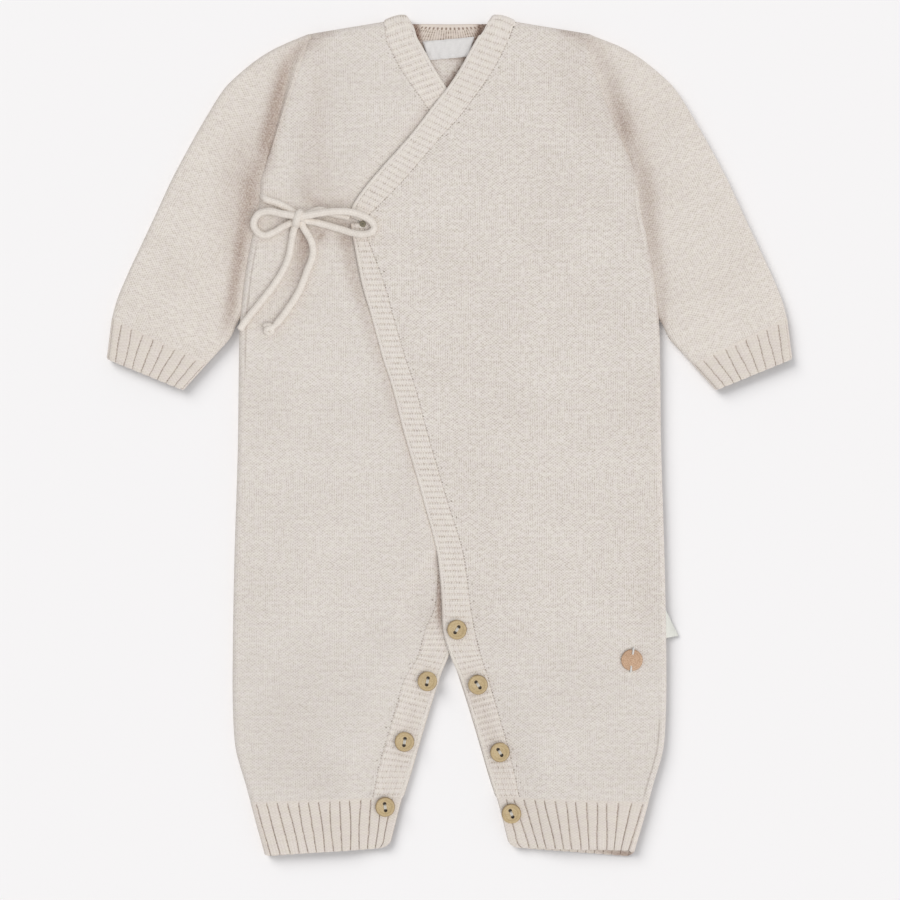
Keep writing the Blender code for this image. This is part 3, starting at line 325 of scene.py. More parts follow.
# Buttons
BUTTON_RADIUS = 5.5
Button = namedtuple("Button", "name x y turn")
BUTTONS = each(
    Button,
    ("button_crotch", 4.0, -104.3, 34), ("button_left_top", -11.9, -132.2, 12),
    ("button_left_middle", -24.2, -164.8, 9), ("button_left_ankle", -34.6, -199.8, -9),
    ("button_right_top", 15.3, -134.0, -35), ("button_right_middle", 27.1, -170.4, -32),
    ("button_right_ankle", 33.3, -203.4, -22),
)
DISC = Point(98.0, -120.7)
DISC_RADIUS = 5.8

# Labels
LABEL_CORNERS = each(Point, (-14.6, 212.3), (13.4, 214.9), (10.4, 204.2), (-11.4, 202.2))
NECK_LABEL_THICK = 1.0
SIDE_TAG_THICK = 1.0
TAG_ROOT, TAG_TIP = 3.2, 0.2  # height of its underside at the seam and at its corner

# Ties: knitted cord, a bow on the front's left side
Spot = namedtuple("Spot", "x y z")
LEFT_LEAD = each(
    Spot,
    (-80.5, 116.6, 9.0), (-84.6, 120.4, 8.5), (-89.4, 123.3, 8.45), (-94.0, 125.2, 8.45), (-98.2, 126.6, 8.4),
)
LEFT_LOOP = each(
    Spot,
    (-80.5, 116.6, 11.6), (-85.6, 118.0, 12.0), (-90.0, 118.7, 11.8), (-95.9, 120.0, 11.4),
    (-101.3, 119.2, 10.6), (-104.5, 115.9, 9.6), (-104.8, 111.9, 8.9), (-102.1, 108.4, 8.6),
    (-98.0, 107.5, 8.6), (-93.2, 109.7, 8.6), (-88.4, 112.6, 8.6), (-84.4, 114.4, 8.7), (-80.5, 116.0, 9.0),
)
LEFT_TAIL = each(
    Spot,
    (-80.5, 116.6, 8.8), (-83.2, 111.4, 8.5), (-84.8, 103.6, 8.5), (-86.2, 95.9, 8.5), (-89.4, 88.3, 8.5),
    (-94.2, 80.7, 8.5), (-99.1, 74.3, 8.5), (-104.0, 68.3, 8.5), (-109.0, 62.0, 8.5), (-112.2, 57.4, 8.4),
)
RIGHT_LEAD = each(
    Spot,
    (-80.5, 116.6, 9.0), (-75.2, 119.2, 8.2), (-70.0, 121.0, 7.9), (-63.6, 119.2, 7.8), (-58.8, 118.3, 7.3),
    (-54.6, 117.4, 6.9),
)
RIGHT_LOOP = each(
    Spot,
    (-80.5, 116.6, 11.6), (-75.4, 117.8, 12.4), (-70.0, 118.8, 12.6), (-62.0, 119.8, 12.2),
    (-53.7, 119.7, 11.2), (-47.3, 118.0, 9.6), (-42.6, 115.4, 8.9), (-40.4, 111.9, 8.8), (-42.2, 109.0, 8.8),
    (-46.6, 108.0, 8.8), (-51.6, 108.6, 8.8), (-57.6, 110.4, 8.8), (-65.0, 112.6, 8.8), (-72.0, 114.4, 8.8),
    (-80.5, 116.2, 9.4),
)
RIGHT_TAIL = each(
    Spot,
    (-80.5, 116.6, 8.8), (-78.2, 111.2, 8.5), (-75.4, 106.8, 8.5), (-73.4, 101.4, 8.5), (-73.7, 95.3, 8.5),
    (-76.2, 89.0, 8.5), (-78.6, 82.4, 8.5), (-81.4, 76.2, 8.5), (-85.2, 70.2, 8.5), (-89.4, 64.2, 8.5),
    (-92.9, 59.9, 8.6),
)


# Camera, light and surface
CAMERA_ABOVE = (0.00027, -0.00783)
CAMERA_HEIGHT = 1.35
LENS, SENSOR = 100.0, 36.0
SKY_COLOUR, SKY_STRENGTH = (0.985, 0.99, 1.0), 0.60
LIGHT_COLOUR = (1.0, 0.99, 0.975)
# strength, width, where it comes from and how far from straight above, in degrees
FLOOR_LIGHT = (2.05, 38.0, 134.0, 52.0)
CLOTH_LIGHT = (1.13, 50.0, -32.0, 24.0)
FLOOR_HALF, FLOOR_DROP = 3.0, 0.0001
FLOOR_COLOUR = (0.93, 0.918, 0.922)

# How closely the cloth is shaped
SHARP = 50  # edges that turn by more degrees stay sharp
BODY_STEP = 2.1
BACK_STEP, BACK_TOP_ROW = 3.2, 204.0
BACK_COLUMNS, ROLL_COLUMNS = 26, 10
NECK_ROWS = ((0, 0.0), (3, 0.35), (7, 0.7))  # below the shoulder, and the share of the way to the first level row
APEX_ROWS = (0.6, -0.5, -1.6, -3.0)  # above the point where the legs part
EDGE_STEPS = (0.0, 0.2, 0.5, 0.9, 1.5)  # close to an edge, where it is rounded
EDGE_ROUND = 0.75
SEAM_ROUND = 0.3
ARMHOLE_ROUND = 2.3
ARMHOLE_BOW = {1: 3.4, -1: 0.0}  # how far the body's edge curves in above the armpit
ARMHOLE_TUCK, TUCK_DROP = 4.2, 1.6  # how far a sleeve runs in under the body, and how far down
TOUCH = -0.15  # sewn pieces run this far into each other
VALLEY_START, PULLED_START, VALLEY_REACH = -2.2, 0.4, 5.0  # the under front rises this close beside the free edge
PULLED_FROM, PULLED_REACH = 62.0, 24.0
SIDE_LINES = {-1: (110.0, 28.0, 14.0), 1: (-148.0, -200.0, 10.0)}  # from, to and how softly
RIPPLES = (  # length across, length up, turn, height
    (37.0, 61.0, 0.4, 0.11),
    (23.0, -44.0, 1.9, 0.08),
    (58.0, 31.0, 3.1, 0.10),
    (17.0, 90.0, 5.0, 0.05),
)
LEVEL_EDGE = 9  # how far in from the seams the ripples begin
FRONT_WIDTH = 100.0  # a width near the middle of the fronts' widths
EDGE_KEPT = 1.5  # this close to an edge, distances aren't spread
SIDE_KEPT = 5.5
SIDE_STEPS = (5.0, 4.3, 3.7, 3.2, 2.7, 2.2, 1.7, 1.2, 0.7, 0.3, 0.0)
SIDE_WRAP, SIDE_RISE = 3.7, 0.06  # how far a front goes on round the side, and how far outside the back
SIDE_LINE_AT = 4.4
SHOULDER_FINE = (0, 12, 24, 36, 48, 60, 72, 84)
BAND_RIB = (0.24, 0.08, 0.16)  # rise, how far the groove goes below the cloth, its half width in pitches
END_RIB = (0.28, 0.34, 0.07)
RIB_LEAN = {1: (-2.6, 1.6), -1: (0.0, -1.9)}  # how far out an ankle's ribs lie, at its top and at its end
RIB_SWAY = 0.36  # how far the ribs of cuffs and ankles wander sideways
SCALLOP = 0.35  # how far each of them stands out at the end
ANKLE_CORNER, CORNER_REACH = 4.2, 9.0  # radius of its lower inner corner, and how far in ribs give way
RIB_PLACES = (0.0, 0.05, 0.12, 0.22, 0.5, 0.78, 0.88, 0.95)  # where one rib's points lie, of a pitch
UNDER_EDGE = (  # the under front's wrap edge: its seam lies further in at the crotch
    *WRAP_EDGE[:9],
    *each(
        WrapRow,
        (-60.0, -7.5, 4.6), (-76.0, -5.2, 5.8), (-90.0, -4.3, 7.2), (-97.0, -3.9, 9.4), (-104.0, -3.5, 12.8),
    ),
    WRAP_EDGE[-1],
)
EDGE_BEAD = 2.0  # width of the smooth column along a free edge
SEAM_SINK, SEAM_SINK_REACH = 0.12, 0.9  # how far a band goes down at its sewn edge, and over what width
BEAD_GROOVE = 0.22
EAR_FROM, EAR_REACH, EAR_RISE, EAR_DROP, EAR_BESIDE = 212.0, 10.0, 2.2, 2.6, 16.0
FOLD_FROM, FOLD_TO, FOLD_ROWS = 82, -74, 27  # degrees, round the fold on each shoulder
# Where the valley beside the body lies on a sleeve, how wide and how deep it is
Valley = namedtuple("Valley", "at width depth")
SLEEVE_VALLEYS = {-1: Valley(0.034, 0.030, 2.6), 1: Valley(0.018, 0.045, 1.7)}
SLEEVE_LEANS_IN = 2.0  # how far its inner edge is pressed against the body
PRESSED_TO, PRESSED_FADE = 0.77, 0.08  # shares of its length
RIB_STARTS, RIB_START_REACH = 0.3, 1.5  # below their seams, where the grooves of cuffs and ankles begin
RIB_TILT = 0.24  # ribs on the inseams run square to their edge
TILT_FROM, TILT_REACH, TILT_TO, TILT_LEAVE = -112.0, 16.0, -183.0, 12.0

# Painted shade: a darker, warmer colour along lines in folds, dips and corners and beside raised edges and cords, with
# how far each point reaches and how deep it is
Hollow = namedtuple("Hollow", "x y reach shade")


def painted_shade_lines(*lines):
    """Each run of painted shade follows a line of its own."""
    return tuple(each(Hollow, *line) for line in lines)


# painted shade down the armholes and sides, on the sleeves and the body
SIDE_PAINTED_SHADE = painted_shade_lines(
    (
        (-66, 217.5, 4, 0.45), (-74, 213, 4, 0.45), (-80, 208, 4.2, 0.55), (-86.1, 201.7, 4.5, 0.6),
        (-89.4, 194.1, 4.2, 0.8), (-91.5, 186.6, 4.2, 0.9), (-93.7, 179, 4.5, 0.95), (-95.3, 171.5, 4.5, 0.9),
        (-97.5, 163.9, 4.6, 0.95), (-98.8, 156.3, 4.6, 0.9), (-99.6, 148.8, 5.5, 0.55),
        (-104.2, 141.2, 5.5, 0.6), (-106.8, 134.5, 6, 0.75), (-107.6, 127.5, 6.2, 0.78),
        (-109.8, 118.5, 4.8, 0.7), (-111, 111, 4.6, 0.72), (-112.6, 102, 4.2, 0.85), (-114.2, 90, 4, 0.8),
        (-116, 80, 3.8, 0.8), (-117.2, 71, 3.6, 0.75), (-119, 61, 3.8, 0.45), (-121, 54, 3, 0.2),
    ),
    (
        (-108, 165, 8, 0.12), (-112, 150, 9, 0.28), (-117, 136, 8, 0.25), (-120, 112, 7, 0.15),
        (-122, 92, 6, 0.1),
    ),
    (
        (62, 218, 4, 0.5), (72, 214, 4, 0.45), (79.1, 209.3, 4, 0.3), (81.8, 201.7, 5, 0.3),
        (86.1, 194, 5.5, 0.3), (87.8, 186.6, 5.5, 0.4), (89.9, 179, 5, 0.45), (92.4, 171.5, 5, 0.5),
        (95, 163.9, 4.5, 0.6), (98, 156.3, 5, 0.28), (101.3, 148.8, 5, 0.26), (104.5, 141.2, 5, 0.38),
        (106, 133.7, 5, 0.46), (107, 126, 5, 0.5), (107.8, 115, 5, 0.52), (109.6, 103.4, 4.8, 0.5),
        (111, 95.8, 4.6, 0.42), (112.8, 88, 4.2, 0.38), (114.2, 80.7, 3.8, 0.34), (114.8, 70, 3, 0.3),
        (114.6, 61, 2.5, 0.5),
    ),
    ((93, 176, 9, 0.22), (99, 158, 9, 0.2), (106, 132, 8, 0.12)),
)
# painted shade on the fronts: in their folds, between and beside the cords, beside the wrap edge and along the leg
# bands
FRONT_PAINTED_SHADE = painted_shade_lines(
    ((-70.5, 206, 6.5, 0.12), (-70.5, 182, 6.5, 0.2), (-70.5, 156, 6.5, 0.22), (-69, 132, 6, 0.2)),
    (
        (-80, 164, 5, 0.1), (-79, 142, 4, 0.14), (-76.5, 127, 2.8, 0.42), (-71.5, 124.6, 2.5, 0.5),
        (-64, 124.6, 2.4, 0.25), (-55, 126.8, 2.6, 0.2),
    ),
    ((-79.5, 110, 2.4, 0.9), (-78, 104, 2.8, 1.15), (-79, 97, 3, 0.9), (-81, 89, 3, 0.5), (-86, 80, 2.6, 0.2)),
    ((-72, 110.6, 2.2, 0.5), (-69.4, 107.4, 2.6, 0.95), (-68, 102.5, 2.2, 0.3)),
    ((-66, 108.6, 2.4, 0.16), (-60, 105.5, 2.6, 0.12), (-52, 104, 2.5, 0.16)),
    ((-68, 114.8, 1.4, 0.3), (-60, 114.2, 2.2, 0.5), (-54, 113, 2.4, 0.5)),
    (
        (-56, 106, 3.5, 0.6), (-54, 96, 3.6, 0.52), (-51, 82, 3, 0.5), (-46.5, 68, 2.6, 0.4),
        (-40.5, 48, 2.2, 0.32), (-31, 18, 2, 0.24), (-19, -20, 1.8, 0.18),
    ),
    (
        (-7.2, -62, 0.9, 0.3), (-6.1, -76, 1.0, 0.6), (-5.6, -86, 1.3, 0.95), (-5.4, -96, 1.5, 1.0),
        (-5, -103, 1.3, 0.6), (-3.8, -109, 1.2, 0.1),
    ),
    ((-5, -82, 2, 0.1), (-7, -96, 4, 0.25), (-9, -103, 4, 0.15)),
    ((10, -126, 5, 0.1), (15, -142, 6, 0.22), (24, -165, 6, 0.22), (32, -192, 5, 0.12)),
    ((-10, -126, 5, 0.05), (-17, -146, 6, 0.1), (-26, -170, 6, 0.12), (-32, -192, 5, 0.08)),
    ((-24, 160, 2.5, 0.1), (-8, 181, 2.5, 0.35), (1, 192, 2.5, 0.5), (6, 200, 2.5, 0.4)),
    ((66, 204, 10, 0.12), (70, 180, 10, 0.12), (80, 160, 8, 0.08)),
    ((96, -40, 6, 0.0), (104, -64, 5, 0.06), (105, -96, 5, 0.06), (105, -112, 5, 0.0)),
    ((-90, -150, 16, 0.08), (-70, -184, 14, 0.1)),
)
# painted shade at the back of the neck: in its corners, beside the over band and under the label
NECK_PAINTED_SHADE = painted_shade_lines(
    (
        (-19, 222.5, 2.2, 1.4), (-17.4, 214, 2.0, 1.9), (-14.6, 207, 1.7, 1.8), (-11.4, 201, 1.3, 1.2),
        (-8, 197, 1.2, 0.4),
    ),
    (
        (18, 222.5, 3, 1.4), (15.8, 214, 2.4, 1.8), (12, 207.5, 1.5, 1.5), (8, 201, 1.5, 1.1),
        (4, 195, 2.0, 1.4), (0, 188, 2.2, 1.9),
    ),
    ((-11, 202.2, 1.0, 0.9), (0, 203.3, 0.9, 0.8), (10, 204, 1.2, 1.0)),
)
# the colour that the painted shade multiplies in
PAINTED_SHADE_TINT = (0.60, 0.52, 0.485)
# painted shade along the lower edge of the right ankle, towards its outer corner
ANKLE_PAINTED_SHADE = painted_shade_lines(
    ((76, -223.4, 1.4, 0.2), (90, -225.4, 1.7, 0.9), (99, -226, 1.9, 1.2)),
)
BAND_OVERLAP = 0.8  # how far the neck band covers the back's edge
UNDER_NECK_OUT = 2.4  # how much further out the under front's neck edge lies, between these heights
NECK_OUT_TOP, NECK_OUT_GAINS, NECK_OUT_END, NECK_OUT_FADES = 222, 10, 130, 30

SLEEVE_WALES = (0.4645, -0.8856)  # the way its columns of stitches run
SLEEVE_COUNTS = (16, 10, 40)  # underneath, round an edge, over the top
CUFF_COUNTS = (8 * CUFF_RIBS, 14, 8 * CUFF_RIBS)
CUFF_ROWS = ANKLE_ROWS = 22
ANKLE_RIM_ROWS = (0.87, 0.9, 0.925, 0.95, 0.97, 0.983, 0.993, 1.0)  # closer together, as shares of its length

# Cords
CORD_DIAMETER = 3.8
KNOT_RADIUS, END_KNOT_RADIUS = 2.0, 1.5
CORD_SETTLE = 0.5  # how far cords sink towards the cloth
LEAD_ROOT = each(Spot, (-99.6, 128.0, 7.0), (-100.6, 129.6, 3.6))  # into the armpit's seam
CORD_STEP, CORD_SIDES = 1.0, 16
TIPS = ((0.98, 0.2), (0.85, 0.53), (0.55, 0.84), (0.0, 1.0))  # a round end: share of the radius, and how far on
LEFT_TURNS = each(Spot, (-80.6, 117.8, 9.0), (-78.4, 116.4, 10.4), (-80.6, 116.8, 12.0))
LEFT_DOWN = each(Spot, (-81.0, 115.4, 9.2), (-81.2, 113.6, 8.8))
RIGHT_TURNS = each(Spot, (-80.4, 117.4, 9.0), (-82.6, 116.6, 10.4), (-80.4, 117.0, 12.1))
RIGHT_DOWN = each(Spot, (-79.6, 115.6, 9.4), (-79.2, 113.6, 8.8))
KNOT_WRAP = each(
    Spot,
    (-82.4, 113.4, 8.6), (-82.3, 113.3, 11.0), (-82.0, 114.3, 12.9), (-81.4, 116.2, 13.7), (-80.7, 118.2, 13.2),
    (-80.2, 119.3, 11.4), (-80.0, 119.5, 8.8),
)
END_WRAP = each(
    Spot,
    (-91.6, 61.6, 8.6), (-93.4, 59.2, 9.4), (-95.6, 57.6, 10.6), (-98.0, 57.0, 10.2), (-98.3, 55.9, 8.8),
    (-97.0, 55.0, 8.2), (-95.6, 55.3, 8.6), (-95.2, 56.8, 10.0), (-96.4, 58.8, 9.6), (-99.0, 59.0, 8.4),
)
TIE_EYELET = Spot(-46.7, 113.7, 0)

# The flat cut of each cloth: its width and length in millimetres, and its area
Cut = namedtuple("Cut", "wide long area rests_on")
CUTS = {
    "back": Cut(247, 420, 88600, ()),
    "back_leg_band": Cut(14.5, 185, 2500, ("back",)),
    "front_over": Cut(168, 428, 46000, ("front_under", "back")),
    "front_under": Cut(168, 428, 46000, ("back",)),
    "neck_band": Cut(15.2, 345, 4700, ("front_over", "front_under", "back")),
    "over_wrap_band": Cut(15.2, 322, 4300, ("front_under", "back_leg_band")),
    "under_wrap_band": Cut(18.4, 322, 4500, ("back", "back_leg_band")),
    "sleeve": Cut(178, 192, 17100, ()),
    "cuff": Cut(122, 23.5, 2350, ()),
    "ankle": Cut(172, 30.5, 4700, ()),
    "neck_label": Cut(28, 11.5, 270, ("back",)),
    "side_tag": Cut(13.6, 16.4, 92, ()),
}

# Stitches and holes
WALE, COURSE = 2.0, 1.54  # one stitch of the cloth
VEE_LENGTH = 1.36  # one stitch on a band
SEAM_HOLES = {"Spacing": 1.6, "Distance": 0.4, "Half_Length": 0.45, "Half_Width": 0.4}
FASHIONED = {"Spacing": 9.2, "Distance": 2.4, "Half_Length": 0.55, "Half_Width": 0.5}
BEAD_HOLES = {"Spacing": 1.5, "Distance": EDGE_BEAD + 0.15, "Half_Length": 0.42, "Half_Width": 0.36}
CHAIN_PITCH, CHAIN_HIGH, FINE_PITCH = 2.43, 2.4, 1.25  # the chain edge behind the neck, and the ribs below it

# Buttons and labels
BUTTON_PROFILE = (
    (0, 0), (4.5, 0), (5.0, 0.25), (5.28, 0.8), (5.28, 1.4), (5.05, 1.95), (4.6, 2.2), (4.1, 2.17),
    (3.7, 1.95), (3.35, 1.75), (2.9, 1.66), (0, 1.62),
)
BUTTON_STITCH = (
    (-1.0, 0, 0.3), (-1.02, 0, 1.0), (-0.7, 0, 1.66), (0, 0, 1.9), (0.7, 0, 1.66), (1.02, 0, 1.0), (1.0, 0, 0.3),
)
DISC_STITCH = ((0.55, 0.9), (0.62, 1.5), (0.8, 1.75), (1.0, 1.2), (1.12, 0.2), (1.14, -0.5))  # share out, height
BUTTON_SIDES, DISC_SIDES = 48, 56
THREAD_RADIUS, DISC_THREAD_RADIUS = 0.4, 0.5
THREAD_RUNS = ((0.0, 0.36), (0.06, -0.36))  # height and sideways place of the thread's two runs
EYELET_ACROSS, EYELET_TALL, EYELET_ROUND = 1.1, 1.0, 0.75
ROD_LENGTH = 8.0
HOLE_AT, HOLE_RADIUS, HOLE_FLOOR = 1.8, 0.86, 0.3
DISC_PROFILE = ((0, 0), (5.4, 0), (5.7, 0.2), (5.8, 0.55), (5.75, 1.0), (5.5, 1.25), (5.1, 1.3), (0, 1.3))
DISC_NOTCHES, NOTCH_RADIUS = ((0.8, 5.9), (-0.6, -5.9)), 1.1
LABEL_BENDS = ((0.35, 1.3, 0.3, 0.4), (0.26, 3.1, -0.8, 2.0), (0.16, 6.3, 1.3, 4.0))
TAG_BENDS = ((0.15, 0.7, 0.4, 0.5), (0.08, 1.6, -1.0, 2.0))

# Colours, linear
BODY_TONES = ((0.925, 0.88, 0.828), (0.772, 0.715, 0.663), (0.862, 0.785, 0.748), (0.872, 0.815, 0.734))
SLEEVE_TONES = ((0.93, 0.88, 0.82), (0.79, 0.73, 0.67), (0.87, 0.79, 0.745), (0.89, 0.825, 0.74))
RIB_TONES = ((0.915, 0.865, 0.81), (0.80, 0.74, 0.68), (0.86, 0.785, 0.74), (0.88, 0.82, 0.735))
END_TONES = ((0.885, 0.824, 0.768), (0.745, 0.68, 0.616), (0.82, 0.735, 0.69), (0.84, 0.775, 0.682))
CORD_TONES = ((0.83, 0.765, 0.70), (0.95, 0.888, 0.82))
UNDER_SHADE, LEG_SHADE = 0.982, 0.84
# painted shade in the gaps between stitches, then the dark of seam holes
GAP_SHADE_TINT, HOLE_TINT = (0.50, 0.44, 0.38), (0.30, 0.21, 0.16)
# painted shade in the rib grooves of the bands, and of cuffs and ankles
GROOVE_SHADE_TINT, END_GROOVE_SHADE_TINT = (0.44, 0.325, 0.25), (0.42, 0.295, 0.222)
GAP_SHADES = {"over": 0.33, "under": 0.27, "sleeve": 0.27}
# how strong the painted shade is in the rib grooves and in the bands' stitch gaps
RIB_SHADE, END_SHADE, VEE_SHADE = 0.48, 0.68, 0.19
INSIDE_TINT, INSIDE_YARN = (0.32, 0.235, 0.18), (0.94, 0.897, 0.868)
# painted shade on the floors and walls of the button holes; a darker colour for patches of the wooden rims
HOLE_SHADE, RIM_DARK = (0.10, 0.07, 0.05), (0.35, 0.24, 0.16)
STITCH_RISE, FUZZ_RISE = 0.18, 0.05
KNIT_SURFACE, CORD_SURFACE = (0.92, 0.18, 0.45), (0.9, 0.5, 0.4)  # roughness, sheen and the sheen's roughness
BUTTON_TONES = ((0.62, 0.48, 0.27), (0.52, 0.385, 0.20), (0.30, 0.20, 0.10))
DISC_TONES = ((0.70, 0.465, 0.305), (0.50, 0.305, 0.18), (0.28, 0.15, 0.085))
THREAD, WHITE_THREAD = (0.80, 0.77, 0.70), (0.90, 0.89, 0.87)
# dark thread round the eyelet, also standing in for the shade in its hole
EYELET_THREAD_AND_SHADE = (0.30, 0.27, 0.19)
LABEL, TAG = (0.945, 0.92, 0.905), (1.0, 1.0, 0.925)
TAG_CORNERS = each(Point, (115.9, -92.8), (123.6, -108.2), (115.9, -109.1))

# Soft folds that are too small for the solids
SLEEVE_FOLDS = each(Fold, (108, 190, 112, 150, 9, 0.5))
# Where the sleeve's rings lie, as shares of its length
SLEEVE_FINE = (0.0, 0.004, *(k / 96 for k in range(1, 97)))
CURVE_STEPS = 24


# Meshes and objects


def linked(name, data):
    """A new object in the scene."""
    made = bpy.data.objects.new(name, data)
    bpy.context.scene.collection.objects.link(made)
    return made


def mesh_of(name, bm):
    mesh = bpy.data.meshes.new(name)
    bm.to_mesh(mesh)
    bm.free()
    return mesh


# Camera, light and surface


def look_down():
    camera = bpy.data.cameras.new("camera")
    camera.lens, camera.sensor_width = LENS, SENSOR
    camera.clip_start, camera.clip_end = 0.05, 20.0
    holder = linked("camera", camera)
    holder.location = (*CAMERA_ABOVE, CAMERA_HEIGHT)
    bpy.context.scene.camera = holder


def light_up():
    scene = bpy.context.scene
    scene.view_settings.view_transform = "Standard"
    world = bpy.data.worlds.new("studio")
    scene.world = world
    world.use_nodes = True
    world.node_tree.nodes["Background"].inputs["Color"].default_value = (*SKY_COLOUR, 1.0)
    world.node_tree.nodes["Background"].inputs["Strength"].default_value = SKY_STRENGTH


def shine(name, strength, width, come_from, tilt, floor, on_floor):
    """A soft light from one side, on the floor alone or on everything but the floor."""
    lamp = bpy.data.lights.new(name, "SUN")
    lamp.energy, lamp.angle, lamp.color = strength, math.radians(width), LIGHT_COLOUR
    holder = linked(name, lamp)
    turn, tilt = math.radians(come_from), math.radians(tilt)
    way = Vector((math.cos(turn) * math.sin(tilt), math.sin(turn) * math.sin(tilt), math.cos(tilt)))
    holder.rotation_euler = way.to_track_quat("Z", "Y").to_euler()
    lit = bpy.data.collections.new(name + "_receivers")
    lit.objects.link(floor)
    lit.collection_objects[0].light_linking.link_state = "INCLUDE" if on_floor else "EXCLUDE"
    holder.light_linking.receiver_collection = lit


def lay_surface():
    bm = bmesh.new()
    bmesh.ops.create_grid(bm, x_segments=1, y_segments=1, size=FLOOR_HALF)
    bmesh.ops.translate(bm, verts=bm.verts[:], vec=(0, 0, -FLOOR_DROP))
    floor = linked("surface", mesh_of("surface", bm))
    finish, shader, _ = new_finish("pale_surface", 0.95)
    shader.inputs["Base Color"].default_value = (*FLOOR_COLOUR, 1.0)
    shader.inputs["Specular IOR Level"].default_value = 0.2
    floor.data.materials.append(finish)
    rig.stage(floor)
    return floor


# Shader parts


class Wire:
    """A value that a node gives. Arithmetic on it adds nodes to the same tree."""

    def __init__(self, socket):
        self.socket = socket

    def __add__(self, other):
        return calc("ADD", self, other)

    def __sub__(self, other):
        return calc("SUBTRACT", self, other)

    def __rsub__(self, other):
        return calc("SUBTRACT", other, self)

    def __mul__(self, other):
        return calc("MULTIPLY", self, other)

    def __truediv__(self, other):
        return calc("DIVIDE", self, other)

    def __abs__(self):
        return calc("ABSOLUTE", self)


def new_node(kind, *values):
    """A node in the tree of the first wire among the values."""
    wire = next(value for value in values if isinstance(value, Wire))
    return wire.socket.id_data.nodes.new(f"ShaderNode{kind}")


def feed(socket, value):
    """Sets a socket, or links a wire to it."""
    if isinstance(value, Wire):
        socket.id_data.links.new(value.socket, socket)
    else:
        socket.default_value = value


def feed_all(node, names, values):
    for name, value in zip(names, values):
        feed(node.inputs[name], value)


def calc(operation, *values, clamp=False):
    node = new_node("Math", *values)
    node.operation, node.use_clamp = operation, clamp
    feed_all(node, range(len(values)), values)
    return Wire(node.outputs[0])


def slope(value, low, high, start=0.0, end=1.0):
    """start below low, end above high, and smooth between."""
    node = new_node("MapRange", value)
    node.interpolation_type = "SMOOTHSTEP"
    feed_all(node, ("Value", "From Min", "From Max", "To Min", "To Max"), (value, low, high, start, end))
    return Wire(node.outputs["Result"])


def stretch(vector, scale, move=(0, 0, 0)):
    node = new_node("Mapping", vector)
    feed_all(node, ("Vector", "Scale", "Location"), (vector, scale, move))
    return Wire(node.outputs["Vector"])


def grainy(vector, scale, detail=2.0, rough=0.5):
    node = new_node("TexNoise", vector)
    feed_all(node, ("Vector", "Scale", "Detail", "Roughness"), (vector, scale, detail, rough))
    return Wire(node.outputs["Fac"])


def blend(kind, factor, first, second):
    node = new_node("Mix", factor, first, second)
    node.data_type, node.blend_type = "RGBA", kind
    feed(node.inputs["Factor"], factor)
    for socket, value in zip([s for s in node.inputs if s.type == "RGBA"], (first, second)):
        feed(socket, (*value, 1.0) if isinstance(value, tuple) and len(value) == 3 else value)
    return Wire(next(s for s in node.outputs if s.type == "RGBA"))


def split(vector):
    node = new_node("SeparateXYZ", vector)
    feed(node.inputs[0], vector)
    return [Wire(output) for output in node.outputs]


def flat_map(tree, name):
    node = tree.nodes.new("ShaderNodeUVMap")
    node.uv_map = name
    return Wire(node.outputs["UV"])


def new_group(name, inputs, outputs):
    """A node group; inputs are (name, socket kind, value) and outputs (name, socket kind)."""
    tree = bpy.data.node_groups.new(name, "ShaderNodeTree")
    for label, kind, value in inputs:
        made = tree.interface.new_socket(name=label, in_out="INPUT", socket_type=f"NodeSocket{kind}")
        if value is not None:
            made.default_value = value
    for label, kind in outputs:
        tree.interface.new_socket(name=label, in_out="OUTPUT", socket_type=f"NodeSocket{kind}")
    given = {socket.name: Wire(socket) for socket in tree.nodes.new("NodeGroupInput").outputs}
    return tree, given, tree.nodes.new("NodeGroupOutput").inputs


def placed(tree, group, **values):
    node = tree.nodes.new("ShaderNodeGroup")
    node.node_tree = group
    for name, value in values.items():
        feed(node.inputs[name.replace("_", " ")], value)
    return {socket.name: Wire(socket) for socket in node.outputs}


def new_finish(name, roughness):
    made = bpy.data.materials.new(name)
    made.use_nodes = True
    shader = made.node_tree.nodes["Principled BSDF"]
    shader.inputs["Roughness"].default_value = roughness
    return made, shader, made.node_tree


def raise_by(shader, height, distance=MM, strength=1.0):
    """Bumps the surface; height is in millimetres."""
    bump = new_node("Bump", height)
    bump.inputs["Strength"].default_value = strength
    bump.inputs["Distance"].default_value = distance
    feed(bump.inputs["Height"], height)
    feed(shader.inputs["Normal"], Wire(bump.outputs["Normal"]))


def stitches_group():
    """Plain knit: columns of V stitches with a small gap at each side of every V.

    Map is in millimetres, with the columns running up it.
    """
    tree, given, put = new_group(
        "plain_stitches",
        [("Map", "Vector", None), ("Wale", "Float", WALE), ("Course", "Float", COURSE), ("Lean", "Float", 0.8)],
        [("Height", "Float"), ("Gap", "Float")],
    )
    across, up, _ = split(given["Map"])
    column = calc("FRACT", across / given["Wale"])
    side = abs(column - 0.5) * 2.0
    rows = up / given["Course"]
    phase = calc("FRACT", rows - side * given["Lean"])
    round_up = calc("SINE", phase * math.pi)
    round_across = calc("SINE", side * math.pi)
    leg = calc("POWER", calc("MULTIPLY", round_up, round_across, clamp=True), 0.5)
    turn = across / given["Wale"] * (2 * math.pi)
    wave_across = calc("COSINE", turn)
    legs = calc("COSINE", turn * 1.62)
    wave_up = calc("COSINE", rows * (2 * math.pi))
    dots = wave_across * wave_up
    patch = slope(grainy(stretch(given["Map"], (0.07, 0.055, 1), (5, 3, 0)), 1.0, 1.0), 0.35, 0.65)
    lines = legs * (patch * 0.75)
    checks = dots * (1.1 - patch * 0.6)
    feed(put["Gap"], slope(lines + checks, -1.2, 1.2))
    sunk = slope(dots, -0.1, 1.0)
    height = leg * 0.4 - sunk * 0.6
    feed(put["Height"], height + 0.6)
    return tree


